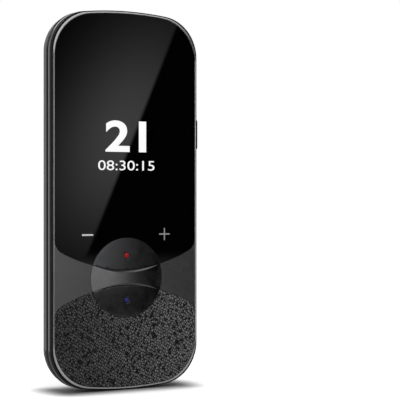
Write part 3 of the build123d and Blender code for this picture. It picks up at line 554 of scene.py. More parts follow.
def screen_glass(base):
    """Black glass with a trace of smears and dust."""
    wires = surface("screen_glass", base, 0.02, IOR=1.52)
    smears = wires.noise(9 * MM, 4.0, 0.55, wires.place((1.0, 1.0, 3.0), (0.0, 0.6, 0.0)))
    fine = wires.noise(0.9 * MM, place=wires.place((1.0, 1.0, 6.0), (0.0, 0.6, 0.0)))
    wires.set("Roughness", wires.ramp(wires.times(smears, fine), 0.2, 0.45, 0.004, 0.012))
    return dusted(wires, base, 0.1 * MM, 0.7, 0.76, 4.0)


def satin_metal(name, base, roughness, grain):
    """Fine blasted metal: tiny grains with a slight cloudiness."""
    wires = surface(name, base, roughness, 1.0)
    grains = wires.noise(grain, 2.0, 0.6)
    clouds = wires.noise(60 * grain, 2.0)
    both = wires.plus(wires.times(grains, 0.75), wires.times(clouds, 0.25))
    wires.set("Base Color", wires.shades(both, base, 0.86, 1.14))
    wires.set("Roughness", wires.ramp(clouds, *NOISE_RANGE, roughness - 0.03, roughness + 0.03))
    wires.set("Normal", wires.bump(grains, 0.1 * grain, 0.35))
    return wires.owner


def grained_leather(base):
    """Small pebbles in slanting rows, with painted shade in the creases and a painted sheen on their crowns
    that grows lighter to the right.
    """
    wires = surface("grained_leather", base, 0.5, IOR=1.3)
    pebble, slant = 0.97 * MM, radians(30)
    place = wires.place((1.3, 1.0, 1.0), (0.0, slant, 0.0))
    cells = {"Vector": place, "Scale": 1 / pebble, "Randomness": 0.55}
    crease = wires.node("ShaderNodeTexVoronoi", cells, feature="DISTANCE_TO_EDGE").outputs["Distance"]
    tone = wires.parts(wires.node("ShaderNodeTexVoronoi", cells).outputs["Color"])[0]
    # Painted shade and highlight: the creases are nearly black in colour and the crowns lighter, as light and
    # shade on the grain would show.
    lift = wires.times(wires.ramp(crease, 0.05, 0.24), wires.plus(wires.times(tone, 0.35), 0.65))
    # Painted sheen: the crowns' colour grows lighter towards the right side.
    painted_sheen = wires.ramp(wires.parts()[0], -HALF_WIDTH, HALF_WIDTH)
    wires.set("Base Color", wires.mix(lift, shaded(base, 0.02), wires.shades(painted_sheen, base, 1.4, 3.6)))
    wires.set("Roughness", wires.ramp(lift, 0.0, 1.0, 0.75, 0.45))
    pores = wires.bump(wires.noise(0.12 * MM, 3.0, 0.7), 0.02 * MM, 0.4)
    wires.set("Normal", wires.bump(lift, 0.16 * MM, 0.9, pores))
    return wires.owner


def clear_pin(name, base):
    """Deeply tinted plastic with a polished head."""
    wires = surface(name, base, 0.18, IOR=1.3, Coat_Weight=0.3, Coat_Roughness=0.04)
    return uneven(wires, 0.6 * MM, 0.15, 0.04)


def about_lens(wires):
    """How far across, up and outwards a point is from the lens's axis."""
    x, _, z = wires.parts()
    up = wires.minus(z, LENS_HEIGHT)
    return x, up, wires.distance(x, up)


def bright_metal(base):
    """Polished ring with faint turning marks round its axis."""
    wires = surface("bright_metal", base, 0.08, 1.0)
    inputs = {"W": about_lens(wires)[2], "Scale": 1 / (0.06 * MM)}
    marks = wires.node("ShaderNodeTexNoise", inputs, noise_dimensions="1D").outputs[0]
    wires.set("Roughness", wires.ramp(marks, *NOISE_RANGE, 0.05, 0.16))
    wires.set("Base Color", wires.shades(marks, base, 0.92, 1.05))
    return wires.owner


def coated_lens(base, finishes, radius):
    """Dark glass with painted reflections of its coating: tints that shift in colour round its rim from side
    to side and a painted reflection in the pupil, with a bright line round the pupil.
    """
    wires = surface("coated_lens", base, 0.06, IOR=1.6, Coat_Weight=0.8, Coat_Roughness=0.02)
    side, rise, out = [wires.over(way, radius) for way in about_lens(wires)]
    # Painted reflections: the coating's colours are placed by side, one towards the top, one to the right and
    # one low.
    tint = wires.mix(wires.ramp(side, -0.1, 0.75), (*finishes.low_reflection_tint, 1.0), (*finishes.side_reflection_tint, 1.0))
    tint = wires.mix(wires.ramp(rise, -0.1, 0.55), tint, (*finishes.top_reflection_tint, 1.0))
    coating = wires.mix(wires.window(out, 0.4, 0.6, 0.82, 1.0), (*base, 1.0), tint)
    # Painted reflection in the pupil: a dim copy of the top colour.
    pupil = shaded(finishes.top_reflection_tint, 0.5)
    glow = wires.mix(wires.window(out, 0.05, 0.2, 0.34, 0.46), coating, pupil)
    ring = wires.window(out, 0.46, 0.5, 0.54, 0.6)
    wires.set("Base Color", wires.mix(ring, glow, (0.35, 0.35, 0.36, 1.0)))
    wires.set("Metallic", ring)
    return wires.owner


def lit_figures(base):
    """Figures that glow evenly, with the faint grid of a display's dots."""
    wires = surface("lit_figures", base, 0.5, Emission_Strength=1.0)
    dot = 0.12 * MM
    x, _, z = wires.parts()
    lines = [wires.ramp(wires.math("FRACT", wires.times(way, 1 / dot)), 0.8, 0.98) for way in (z, x)]
    grid = wires.larger(*lines)
    wires.set("Emission Color", wires.shades(grid, base, 1.0, 0.8))
    wires.set("Base Color", wires.mix(grid, grey(0.0), grey(0.01)))
    return wires.owner


def circuit_board(base):
    """Solder mask over a net of thin traces, with gold pads here and there."""
    wires = surface("circuit_green", base, 0.35, IOR=1.5)
    inputs = {"Vector": wires.place(), "Scale": 1 / (1.4 * MM), "Randomness": 0.85}
    cells = wires.node("ShaderNodeTexVoronoi", inputs, distance="CHEBYCHEV").outputs["Distance"]
    trace = wires.ramp(cells, 0.42, 0.46)
    pad = wires.ramp(cells, 0.13, 0.1)
    wires.set("Base Color", wires.mix(pad, wires.shades(trace, base, 1.0, 1.7), (0.7, 0.5, 0.15, 1.0)))
    wires.set("Metallic", pad)
    wires.set("Normal", wires.bump(trace, 0.02 * MM, 0.6))
    return wires.owner


def striped_flex(base):
    """Amber film with straight copper lines under it."""
    wires = surface("flex_amber", base, 0.3)
    x = wires.parts()[0]
    line = wires.ramp(wires.math("PINGPONG", x, 0.2 * MM), 0.09 * MM, 0.12 * MM)
    wires.set("Base Color", wires.shades(line, base, 0.8, 1.4))
    wires.set("Normal", wires.bump(line, 0.02 * MM, 0.5))
    return wires.owner


def woven_mesh(base):
    """A fine cloth of square holes."""
    wires = surface("mesh_black", base, 0.5)
    x, _, z = wires.parts()
    nearest = wires.math("MINIMUM", *[wires.math("PINGPONG", way, 0.1 * MM) for way in (x, z)])
    thread = wires.ramp(nearest, 0.02 * MM, 0.05 * MM, 1.0, 0.0)
    wires.set("Base Color", wires.shades(thread, base, 0.2, 1.5))
    wires.set("Normal", wires.bump(thread, 0.04 * MM, 0.8))
    return wires.owner


# name, colour, roughness, metallic, then the noise: size in mm, shade, spread, bump in mm and stretch
PLAIN_FINISHES = (
    ("shield_steel", (0.62, 0.62, 0.6), 0.3, 1.0, 0.15, 0.08, 0.08, 0.004, (8.0, 1.0, 1.0)),
    ("screw_steel", (0.45, 0.45, 0.46), 0.32, 1.0, 0.08, 0.12, 0.08, 0.003),
    ("cell_foil", (0.36, 0.36, 0.37), 0.34, 0.8, 5.0, 0.12, 0.1, 0.08, (1.0, 1.0, 2.0)),
    ("tape_black", (0.03, 0.03, 0.03), 0.6, 0.0, 0.2, 0.25, 0.1, 0.01, (4.0, 1.0, 1.0)),
    ("silicone_grey", (0.25, 0.25, 0.26), 0.65, 0.0, 0.3, 0.08, 0.08, 0.01),
    ("wire_red", (0.6, 0.04, 0.03), 0.4, 0.0, 0.3, 0.12, 0.06, 0.01, (1.0, 1.0, 5.0)),
    ("black_plastic", (0.03, 0.03, 0.03), 0.45, 0.0, 0.12, 0.2, 0.08, 0.008),
    ("white_plastic", (0.8, 0.8, 0.78), 0.4, 0.0, 0.4, 0.03, 0.05, 0.005),
    ("display_glass", (0.02, 0.02, 0.022), 0.08, 0.0, 4.0, 0.1, 0.03, 0.0),
    ("bar_steel", (0.6, 0.6, 0.58), 0.22, 1.0, 0.2, 0.1, 0.06, 0.003, (1.0, 6.0, 1.0)),
)

INNER_PARTS = (
    ("key_switches power_switch microphone processor_shield radio_shield", "shield_steel"),
    ("glass_tape plate_tape leather_tape display_foam battery_tape speaker_gasket", "tape_black"),
    ("key_pad", "silicone_grey"),
    ("key_leds display_backlight", "white_plastic"),
    ("key_board main_board battery_protection_board charging_board", "circuit_green"),
    ("display_panel", "display_glass"),
    ("display_flex side_flex link_flex camera_flex antenna_flex", "flex_amber"),
    ("frame_screws board_screws charging_screws", "screw_steel"),
    ("board_connectors speaker_housing speaker_driver camera_module", "black_plastic"),
    ("battery", "cell_foil"),
    ("battery_lead", "wire_red"),
    ("speaker_mesh", "mesh_black"),
)


# ---- what several outlines need ----
def radius_of(node):
    low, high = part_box(node)
    return (high.x - low.x) / 2


def chamfered(radius, y, edge):
    """The far end of an outline, from its chamfered corner in to the middle."""
    return [(radius, y - edge), (radius - edge, y), (0, y)]


# ---- the rear shell ----
# radius about the lens in mm, number of holes, and the half angle that they spread over in degrees
SOUND_RINGS = (
    (12.1, 5, 28.9), (14.5, 6, 29.8), (17.0, 7, 32.2), (19.4, 8, 35.2), (21.9, 9, 38.8), (24.3, 10, 42.1),
)


def sound_hole_places():
    places = []
    for radius, count, half_angle in SOUND_RINGS:
        for i in range(count):
            angle = radians(half_angle * (2 * i / (count - 1) - 1))
            places.append((radius * MM * sin(angle), LENS_HEIGHT + radius * MM * cos(angle)))
    return places


def sound_hole_tool(sizes):
    """All the holes' cutting tools as one: each a bar that flares to a chamfer at the back."""
    deep, chamfer, proud = BACK - 2 * sizes.wall, BACK - sizes.hole_flare, BACK + sizes.hole_flare
    flare = sizes.hole_radius + 2 * sizes.hole_flare
    outline = [(0, deep), (sizes.hole_radius, deep), (sizes.hole_radius, chamfer), (flare, proud), (0, proud)]
    first = turned("sound_hole", outline, 0.0, steps=20)
    copies = []
    for x, z in sound_hole_places():
        copy = first.copy()
        copy.data = first.data.copy()
        bpy.context.scene.collection.objects.link(copy)
        copy.location = (x, 0, z)
        copies.append(copy)
    bpy.data.objects.remove(first)
    activate(copies[0])
    for copy in copies:
        copy.select_set(True)
    bpy.ops.object.join()
    return settle(bpy.context.object)


def lens_hole_tool(sizes, lens_sizes):
    """The stepped seat of the camera ring, with a small chamfer at the back."""
    gap, chamfer = 0.05 * MM, 0.06 * MM
    deep, seat = BACK - 2 * sizes.wall, BACK - lens_sizes.flange
    collar, flange = lens_sizes.ring_collar + gap, radius_of("camera_ring") + gap
    outline = [(0, deep), (collar, deep), (collar, seat), (flange, seat), (flange, BACK - chamfer)]
    outline += [(flange + 2 * chamfer, BACK + chamfer), (0, BACK + chamfer)]
    return turned("lens_hole", outline, LENS_HEIGHT)


def port_hole_tool():
    """A block round the charging port that opens through the bottom."""
    low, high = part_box("usb_port")
    gap = Vector((1.0, 1.0, 1.0)) * 0.15 * MM
    low = low - gap
    low.z = -MM
    return box_between(low, high + gap)


def drafted_edge(inset, far, radius, sizes):
    """From the shell's edge up the slope and round to the flat, as (inset, y) points."""
    near_y = SEAM + sizes.seam_step
    climb = (far - radius - near_y + radius * sin(sizes.draft)) / cos(sizes.draft)
    centre = (inset + climb * sin(sizes.draft) + radius * cos(sizes.draft), far - radius)
    start = 180 - sizes.draft * 180 / pi
    support = (centre[0] + 0.4 * MM, far)
    return [(inset, near_y)] + arc(centre, radius, start, 90, 14) + [support]


def make_rear_shell(sizes, lens_sizes):
    inner_inset = sizes.inset + sizes.wall / cos(sizes.draft)
    inner = drafted_edge(inner_inset, BACK - sizes.wall, sizes.edge_radius - sizes.wall, sizes)
    outer = drafted_edge(sizes.inset, BACK, sizes.edge_radius, sizes)
    seam_y = SEAM + sizes.seam_step
    rim = [(inner_inset, SEAM), (sizes.seam_inset, SEAM), (sizes.seam_inset, seam_y)]
    lip = [(sizes.inset + 0.12 * MM, seam_y), (sizes.inset + 0.02 * MM, seam_y + 0.1 * MM)]
    shell = swept("rear_shell", inner[::-1] + rim + lip + outer[1:], sizes)
    shaped_by(shell, lens_hole_tool(sizes, lens_sizes))
    shaped_by(shell, sound_hole_tool(sizes))
    shaped_by(shell, port_hole_tool())
    return soften(shell, 35)


# ---- the talk keys ----
DOME_RINGS = 12


def dome_y(radius, sizes):
    """Where the keys' common dome is at a distance from their middle."""
    sphere = (sizes.hole_radius**2 + sizes.crown**2) / (2 * sizes.crown)
    return FRONT - sizes.crown + sphere - sqrt(sphere**2 - radius**2)


def make_talk_key(name, node, pin, side, sizes):
    """A domed cap with a flange, cut to a lens shape, with its plunger and the hole for its pin."""
    low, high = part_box(node)
    pin_low, pin_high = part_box(pin)
    wide = (high.z if side > 0 else -low.z) - side * KEYS_HEIGHT
    far = pin_high.y
    flange = far - sizes.flange
    radii = [sizes.radius * ring / DOME_RINGS for ring in range(DOME_RINGS + 1)]
    outline = [(radius, dome_y(radius, sizes)) for radius in radii]
    outline += [(sizes.radius, flange), (wide, flange), (wide, far), (0, far)]
    key = turned(name, outline, KEYS_HEIGHT, steps=128)

    def rod(radius, height, steps):
        """A round bar through the key and well past it on both sides."""
        front, back = FRONT - 2 * MM, high.y + 2 * MM
        return turned("rod", [(0, front), (radius, front), (radius, back), (0, back)], height, steps)

    shaped_by(key, rod(sizes.arc_radius, KEYS_HEIGHT + side * sizes.arc_centre, 720), "INTERSECT")
    thick = sizes.plunger_radius
    plunger = [(0, flange), (thick, flange)] + chamfered(thick, high.y, 0.1 * MM)
    shaped_by(key, turned("plunger", plunger, KEYS_HEIGHT + side * sizes.plunger_place, 40), "UNION")
    shaped_by(key, rod(radius_of(pin) + sizes.pin_gap, (pin_low.z + pin_high.z) / 2, 48))

    def rim_edge(edge):
        in_front = all(vert.co.y < flange - 0.1 * MM for vert in edge.verts)
        return in_front and edge.calc_face_angle(0.0) > radians(50)

    bevel(key, rim_edge, sizes.edge)
    leave_edit(key, COARSE)
    return soften(key, 32)


def make_light_pin(name, node):
    """A pin with a domed head."""
    low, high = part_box(node)
    radius = radius_of(node)
    head = 0.72 * radius
    outline = [(radius * sin(radians(a)), low.y + head - head * cos(radians(a))) for a in range(0, 91, 10)]
    outline += chamfered(radius, high.y, 0.06 * MM)
    return soften(turned(name, outline, (low.z + high.z) / 2, steps=48), 40)


# ---- the camera's pieces ----
def make_lens_ring(sizes):
    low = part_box("camera_ring")[0]
    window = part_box("camera_window")[0]
    radius, bore = radius_of("camera_ring"), radius_of("camera_window") + 0.05 * MM
    seat, lip, inner_round = BACK - sizes.flange, sizes.ring_lip, 0.12 * MM
    outline = [(radius, seat)]
    outline += arc((radius - sizes.ring_round, BACK - sizes.ring_round), sizes.ring_round, 0, 90, 5)
    outline += arc((bore + inner_round, BACK - inner_round), inner_round, 90, 180, 3)
    outline += [(bore, window.y), (lip, window.y), (lip, low.y)]
    outline += [(sizes.ring_collar, low.y), (sizes.ring_collar, seat), (radius, seat)]
    return soften(turned("lens_ring", outline, LENS_HEIGHT), 40)


def make_lens_window():
    low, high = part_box("camera_window")
    radius, edge = radius_of("camera_window"), 0.08 * MM
    outline = [(0, low.y), (radius - edge, low.y), (radius, low.y + edge)]
    outline += chamfered(radius, high.y, edge)
    return soften(turned("lens_window", outline, LENS_HEIGHT), 30)


def make_lens_barrel(sizes):
    """Steps down towards the lens, as baffles in a lens barrel."""
    low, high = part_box("camera_barrel")
    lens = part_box("camera_lens")[0]
    radius, bore = radius_of("camera_barrel"), radius_of("camera_lens") + 0.05 * MM
    step, width = sizes.barrel_step, (radius - bore) / 3
    outline = [(0, low.y), (radius, low.y)] + chamfered(radius, high.y, 0.08 * MM)[:2]
    for i in (1, 2):
        outline += [(radius - i * width, high.y - (i - 1) * step), (radius - i * width, high.y - i * step)]
    outline += [(bore, high.y - 2 * step), (bore, lens.y), (0, lens.y)]
    return soften(turned("lens_barrel", outline, LENS_HEIGHT), 30)


def make_lens():
    low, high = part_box("camera_lens")
    radius = radius_of("camera_lens")
    dome = 0.7 * (high.y - low.y)
    outline = [(0, low.y), (radius, low.y)]
    outline += [(radius * cos(radians(a)), high.y - dome + dome * sin(radians(a))) for a in range(0, 91, 9)]
    return soften(turned("lens", outline, LENS_HEIGHT), 40)


# ---- what the screen shows, and the signs on the glass ----
def make_figures(name, text, box, film, bold):
    """Lit numbers, scaled into a box on the glass: its left, width, low and height."""
    left, width, low, height = box
    deselect()
    bpy.ops.object.text_add()
    writing = bpy.context.object
    writing.data.body = text
    writing.data.resolution_u = 6
    writing.data.offset = bold
    bpy.ops.object.convert(target="MESH")
    writing = bpy.context.object
    xs, ys = zip(*[vert.co.xy for vert in writing.data.vertices])
    scale_x, scale_z = width / (max(xs) - min(xs)), height / (max(ys) - min(ys))
    writing.scale = (scale_x, scale_z, 1)
    writing.rotation_euler = (pi / 2, 0, 0)
    writing.location = (left - min(xs) * scale_x, FRONT - film, MIDDLE + low - min(ys) * scale_z)
    settle(writing, name)
    choose(writing, everything, "VERT")
    bpy.ops.mesh.remove_doubles(threshold=FINE)
    bpy.ops.mesh.select_mode(type="FACE")
    bpy.ops.mesh.select_all(action="SELECT")
    bpy.ops.mesh.extrude_region_move(TRANSFORM_OT_translate={"value": (0, 0.7 * film, 0)})
    leave_edit(writing, FINE)
    return writing


def make_sign(name, x, stroke, upright, sizes):
    """A flat bar with rounded ends, crossed by a second one when it is upright too."""
    film = sizes.film

    def strip(width, height):
        deselect()
        bpy.ops.mesh.primitive_cube_add(
            size=1,
            location=(x, FRONT - film / 2, MIDDLE + sizes.sign_height),
            scale=(width, 0.9 * film, height),
        )
        bar = settle(bpy.context.object, name)
        bevel(bar, lambda edge: abs(edge.verts[0].co.y - edge.verts[1].co.y) > film / 2, 0.3 * stroke)
        return bar

    sign = strip(sizes.sign_size, stroke)
    if upright:
        shaped_by(sign, strip(stroke, sizes.sign_size), "UNION")
    return settle(sign, name)


# ---- one operator for each piece or group of like pieces ----
class TRANSLATOR_OT_casing(Operator):
    """Make the front housing and the frame behind it"""

    bl_idname = "translator.casing"
    bl_label = "Casing"

    def execute(self, context):
        finishes = context.scene.translator_finishes
        sizes = context.scene.translator_shell
        housing = copy_of("front_bezel", "front_housing")
        choose(housing, everything)
        bpy.ops.mesh.bisect(plane_co=(0, FRONT + sizes.rim_depth, 0), plane_no=(0, 1, 0))
        close_edit()
        soften(housing, 32)
        fitted(housing, "gloss_black", gloss_black("housing_black", finishes.shell), "front_bezel")
        finish_faces(housing, matt_band(finishes.band), FRONT + sizes.band_depth)
        rim = satin_metal("rim_metal", finishes.rim, roughness=0.24, grain=0.04 * MM)
        finish_faces(housing, rim, FRONT + sizes.rim_depth)
        side = soften(copy_of("mid_frame", "side_frame"), 32)
        fitted(side, "frame_black", gloss_black("frame_black", finishes.shell, softer=True), "mid_frame")
        return {"FINISHED"}


class TRANSLATOR_OT_rear_shell(Operator):
    """Make the domed gloss back with its sound holes"""

    bl_idname = "translator.rear_shell"
    bl_label = "Rear shell"

    def execute(self, context):
        scene = context.scene
        shell = make_rear_shell(scene.translator_shell, scene.translator_lens)
        gloss = gloss_black("gloss_black", scene.translator_finishes.shell)
        fitted(shell, "gloss_black", gloss, "rear_cover")
        return {"FINISHED"}


class TRANSLATOR_OT_front_panels(Operator):
    """Make the glass, the metal between the keys and the leather grip pad"""

    bl_idname = "translator.front_panels"
    bl_label = "Front panels"

    def execute(self, context):
        sizes = context.scene.translator_panels
        finishes = context.scene.translator_finishes
        glass = soften(round_front(copy_of("cover_glass", "front_glass"), FRONT, sizes.glass_edge), 50)
        fitted(glass, "screen_glass", screen_glass(finishes.glass), "cover_glass")
        leather = soften(round_front(copy_of("leather_panel", "leather_pad"), FRONT, sizes.leather_edge), 50)
        fitted(leather, "grained_leather", grained_leather(finishes.leather), "leather_panel")
        plate = copy_of("control_plate", "key_surround")
        inner = sizes.groove_radius - sizes.groove_width / 2
        outer = inner + sizes.groove_width
        top, bottom = FRONT - sizes.groove_depth, FRONT + sizes.groove_depth
        ring = [(inner, top), (outer, top), (outer, bottom), (inner, bottom), (inner, top)]
        shaped_by(plate, turned("groove", ring, KEYS_HEIGHT, steps=180))
        satin = satin_metal("satin_plate", finishes.plate, roughness=0.2, grain=0.05 * MM)
        fitted(soften(plate, 20), "satin_plate", satin, "control_plate")
        return {"FINISHED"}


class TRANSLATOR_OT_screen(Operator):
    """Make the lit numbers and the two signs on the glass"""

    bl_idname = "translator.screen"
    bl_label = "Screen"

    def execute(self, context):
        sizes = context.scene.translator_screen
        lit = lit_figures(context.scene.translator_finishes.figures)
        large = make_figures("large_figures", sizes.figures, sizes.figures_box, sizes.film, sizes.bold)
        fitted(large, "white_plastic", lit)
        small = make_figures("small_figures", sizes.clock, sizes.clock_box, sizes.film, 0.0)
        fitted(small, "white_plastic", lit)
        signs = (
            ("minus_sign", -sizes.sign_place, sizes.minus_stroke, False, "light_print", 0.5),
            ("plus_sign", sizes.sign_place, sizes.plus_stroke, True, "grey_print", 0.22),
        )
        for name, x, stroke, upright, finish, level in signs:
            printed = uneven(surface(finish, (level, level, level), 0.35), 0.08 * MM, 0.12, 0.08)
            fitted(make_sign(name, x, stroke, upright, sizes), "white_plastic", printed)
        return {"FINISHED"}


class TRANSLATOR_OT_talk_keys(Operator):
    """Make the two talk keys and their light pins"""

    bl_idname = "translator.talk_keys"
    bl_label = "Talk keys"

    def execute(self, context):
        sizes = context.scene.translator_keys
        finishes = context.scene.translator_finishes
        satin = satin_metal("key_black", finishes.keys, roughness=0.22, grain=0.04 * MM)
        for place, tint, side in (("upper", "red", 1), ("lower", "blue", -1)):
            node, pin_node = f"{tint}_key", f"{tint}_light_pipe"
            key = make_talk_key(f"{place}_talk_key", node, pin_node, side, sizes)
            fitted(key, "key_black", satin, node, body=node)
            pin = make_light_pin(f"{place}_light_pin", pin_node)
            clear = clear_pin(f"{tint}_pin", getattr(finishes, tint))
            fitted(pin, f"{tint}_lens", clear, pin_node, body=node)
        return {"FINISHED"}


class TRANSLATOR_OT_lens(Operator):
    """Make the bright ring, its window, the barrel and the lens"""

    bl_idname = "translator.lens"
    bl_label = "Camera"

    def execute(self, context):
        sizes = context.scene.translator_lens
        finishes = context.scene.translator_finishes
        fitted(make_lens_ring(sizes), "bright_ring", bright_metal(finishes.bright), "camera_ring")
        clear = surface("window_glass", (1.0, 1.0, 1.0), 0.02, IOR=1.45, Transmission_Weight=1.0)
        fitted(make_lens_window(), "camera_glass", uneven(clear, 3 * MM, 0.02, 0.015), "camera_window")
        black = uneven(surface("barrel_black", (0.002, 0.002, 0.002), 0.5), 0.1 * MM, 0.3, 0.08)
        fitted(make_lens_barrel(sizes), "camera_black", black, "camera_barrel")
        coated = coated_lens((0.02, 0.022, 0.01), finishes, radius_of("camera_lens"))
        fitted(make_lens(), "camera_glass", coated, "camera_lens")
        return {"FINISHED"}


class TRANSLATOR_OT_side_parts(Operator):
    """Make the power key, the bar in the lanyard eye and the charging port"""

    bl_idname = "translator.side_parts"
    bl_label = "Side parts"

    def execute(self, context):
        base = context.scene.translator_finishes.keys
        satin = satin_metal("side_key_black", base, roughness=0.3, grain=0.04 * MM)
        key = soften(copy_of("power_key", "side_key"), 40)
        fitted(key, "key_black", satin, "power_key", body="power_key")
        bar = soften(copy_of("lanyard_bar", "eye_bar"), 40)
        fitted(bar, "bar_steel", bpy.data.materials["bar_steel"], "lanyard_bar")
        port = soften(copy_of("usb_port", "charging_port"), 35)
        fitted(port, "shield_steel", bpy.data.materials["shield_steel"], "usb_port")
        return {"FINISHED"}


class TRANSLATOR_OT_inner_parts(Operator):
    """Give every piece inside the body its finish"""

    bl_idname = "translator.inner_parts"
    bl_label = "Inner parts"

    def execute(self, context):
        made = {
            "circuit_green": circuit_board((0.02, 0.16, 0.07)),
            "flex_amber": striped_flex((0.55, 0.26, 0.06)),
            "mesh_black": woven_mesh((0.02, 0.02, 0.02)),
        }
        for name, base, roughness, metallic, size, shade, spread, bump, *stretch in PLAIN_FINISHES:
            wires = surface(name, base, roughness, metallic)
            made[name] = uneven(wires, size * MM, shade, spread, bump * MM, *stretch)
        for nodes, finish in INNER_PARTS:
            for node in nodes.split():
                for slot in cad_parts[node].material_slots:
                    slot.link = "OBJECT"
                    slot.material = made[finish]
        return {"FINISHED"}


# ---- the studio ----
def make_floor(studio):
    """A pale disc that keeps the object's shadow, has a painted shadow round the foot that only the camera
    sees, and is otherwise as white as what lies behind it.
    """
    deselect()
    bpy.ops.mesh.primitive_circle_add(vertices=128, radius=studio.floor_radius, fill_type="NGON")
    floor = settle(bpy.context.object, "floor")
    bounced, dark, white = grey(studio.floor_bounce), grey(studio.painted_shadow_level), grey(studio.floor_white)
    wires = surface("pale_floor", bounced[:3], 1.0, Specular_IOR_Level=0.0)
    x, y, _ = wires.parts()
    beyond = [
        wires.larger(wires.minus(wires.math("ABSOLUTE", way), reach), 0.0)
        for way, reach in ((x, studio.foot_x), (y, studio.foot_y))
    ]
    # Painted shadow: to the camera the floor darkens towards the foot, from the painted shadow's level up to
    # white.
    seen_with_painted_shadow = wires.mix(wires.ramp(wires.distance(*beyond), 0.0, studio.painted_shadow_reach), dark, white)
    seen = wires.node("ShaderNodeLightPath").outputs["Is Camera Ray"]
    wires.set("Base Color", wires.mix(seen, bounced, seen_with_painted_shadow))
    floor.data.materials.append(wires.owner)


# white cards that gloss sees: level, then bearings and heights in degrees for dark, full, full and dark
CARDS = (
    (0.13, (-60, -40, 0, 6), (-30, -12, 89, 91)),            # near left, for the rim
    (1.6, (-118, -104, -70, -40), (-22, -6, 50, 70)),        # far left
    (2.3, (-151.8, -145.6, -118, -104), (-25, -9, 40, 60)),  # left and behind
    (1.1, (-163, -159, -154.5, -153), (-25, -9, 40, 60)),    # narrow, for the ribs
    (0.9, (-110, -80, 30, 62), (11, 16, 91, 92)),            # overhead
    (0.7, (-181, -180, 180, 181), (55, 70, 91, 92)),         # straight above
    (1.2, (57, 61, 72, 77), (-25, -10, 40, 60)),             # narrow strip at the right
    (2.0, (86, 94, 104, 116), (-22, -8, 40, 60)),            # far right
    (0.6, (116, 126, 133, 142), (-45, -30, -14, -5)),        # low, right and behind
    (2.2, (146, 170, 180.5, 181), (-25, -9, 40, 60)),        # straight behind, to its right
    (2.2, (-181, -180.5, -178, -168), (-25, -9, 40, 60)),    # and to its left
)


def front_card(wires, bearing, height):
    """The card in front, with a hard right edge that goes soft below."""
    level = 1.1
    hard = wires.ramp(bearing, 23.6, 21.8)
    soft = wires.ramp(bearing, 36.0, 23.0)
    below = wires.ramp(height, -2.0, -3.4)
    right = wires.plus(hard, wires.times(below, wires.minus(soft, hard)))
    left = wires.ramp(bearing, -6.0, 6.0)
    foot = wires.ramp(height, -8.0, 0.0)
    return wires.times(wires.times(wires.times(right, left), foot), level)


def slanting_card(wires, bearing, height):
    """The small card whose slanting edge shows in the glass, brightest at its middle."""
    edge_bearing, edge_height, edge_slope = 25.4, -2.9, 0.3925
    middle_bearing, middle_height, lean = 27.15, 2.65, radians(21.3)
    half_width, half_length = 2.41, 4.02
    edge = wires.plus(edge_bearing, wires.times(wires.minus(height, edge_height), edge_slope))
    across, up = wires.minus(bearing, middle_bearing), wires.minus(height, middle_height)
    short = wires.minus(wires.times(across, cos(lean)), wires.times(up, sin(lean)))
    long = wires.plus(wires.times(across, sin(lean)), wires.times(up, cos(lean)))
    squares = [
        wires.square(wires.math("ABSOLUTE", wires.over(way, reach)))
        for way, reach in ((short, half_width), (long, half_length))
    ]
    glow = wires.math("EXPONENT", wires.times(wires.plus(*squares), -1.0))
    return wires.times(glow, wires.ramp(wires.minus(edge, bearing), -0.1, 0.1))


def studio_light(wires, coords):
    """What gloss sees round the object: white cards and dark gaps, by bearing and height in degrees."""
    x, y, z = wires.parts(coords)
    to_degrees = 180 / pi
    bearing = wires.times(wires.math("ARCTAN2", x, wires.times(y, -1.0)), to_degrees)
    height = wires.times(wires.math("ARCSINE", z), to_degrees)
    total = wires.larger(front_card(wires, bearing, height), slanting_card(wires, bearing, height))
    for level, bearings, heights in CARDS:
        lit = wires.times(wires.window(bearing, *bearings), wires.window(height, *heights))
        total = wires.larger(total, wires.times(lit, level))
    return total


def make_world(studio):
    """White to the camera, soft all round for the colours, and cards for the gloss."""
    world = bpy.data.worlds.new("studio")
    bpy.context.scene.world = world
    world.use_nodes = True
    world.cycles.sampling_method = "NONE"
    wires = Wiring(world, "Background")
    coords = wires.node("ShaderNodeTexCoord").outputs["Generated"]
    brightest = Vector((-0.6, -0.5, 0.62)).normalized()
    lean = wires.node("ShaderNodeVectorMath", {0: coords, 1: brightest}, operation="DOT_PRODUCT")
    soft = wires.plus(wires.times(lean.outputs["Value"], studio.lean), studio.ambient)
    path = wires.node("ShaderNodeLightPath").outputs
    level = studio_light(wires, coords)
    for ray, other in (("Is Diffuse Ray", soft), ("Is Camera Ray", 1.0)):
        level = wires.plus(level, wires.times(path[ray], wires.minus(other, level)))
    wires.set("Color", grey(1.0))
    wires.set("Strength", level)


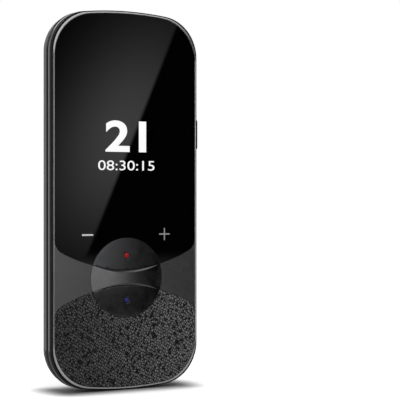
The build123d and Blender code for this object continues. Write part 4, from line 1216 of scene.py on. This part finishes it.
class TRANSLATOR_OT_stage(Operator):
    """Set the floor, the light and the camera"""

    bl_idname = "translator.stage"
    bl_label = "Stage"

    def execute(self, context):
        studio = context.scene.translator_studio
        make_floor(studio)
        make_world(studio)
        deselect()
        place = (-studio.camera_left, FRONT - studio.camera_near, MIDDLE)
        bpy.ops.object.camera_add(location=place, rotation=(pi / 2, 0, -studio.heading))
        camera = bpy.context.object
        camera.data.lens = studio.lens
        context.scene.camera = camera
        context.scene.view_settings.view_transform = "Standard"
        return {"FINISHED"}


SETTINGS = (
    ("translator_shell", ShellSizes),
    ("translator_panels", PanelSizes),
    ("translator_keys", KeySizes),
    ("translator_lens", LensSizes),
    ("translator_screen", ScreenSizes),
    ("translator_finishes", Finishes),
    ("translator_studio", StudioSettings),
)

OPERATORS = (
    TRANSLATOR_OT_stage,
    TRANSLATOR_OT_inner_parts,
    TRANSLATOR_OT_casing,
    TRANSLATOR_OT_rear_shell,
    TRANSLATOR_OT_front_panels,
    TRANSLATOR_OT_screen,
    TRANSLATOR_OT_talk_keys,
    TRANSLATOR_OT_lens,
    TRANSLATOR_OT_side_parts,
)


class TRANSLATOR_PT_sidebar(Panel):
    """The translator's pieces, in the order they are made"""

    bl_label = "Handheld Translator"
    bl_idname = "TRANSLATOR_PT_sidebar"
    bl_space_type = "VIEW_3D"
    bl_region_type = "UI"
    bl_category = "Translator"

    def draw(self, context):
        for operator in OPERATORS:
            self.layout.operator(operator.bl_idname)


def register():
    for name, group in SETTINGS:
        bpy.utils.register_class(group)
        setattr(bpy.types.Scene, name, bpy.props.PointerProperty(type=group))
    for operator in OPERATORS:
        bpy.utils.register_class(operator)
    bpy.utils.register_class(TRANSLATOR_PT_sidebar)


def unregister():
    bpy.utils.unregister_class(TRANSLATOR_PT_sidebar)
    for operator in reversed(OPERATORS):
        bpy.utils.unregister_class(operator)
    for name, group in reversed(SETTINGS):
        delattr(bpy.types.Scene, name)
        bpy.utils.unregister_class(group)


def main():
    register()
    for operator in OPERATORS:
        group, name = operator.bl_idname.split(".")
        getattr(getattr(bpy.ops, group), name)()


if __name__ == "__main__":
    main()
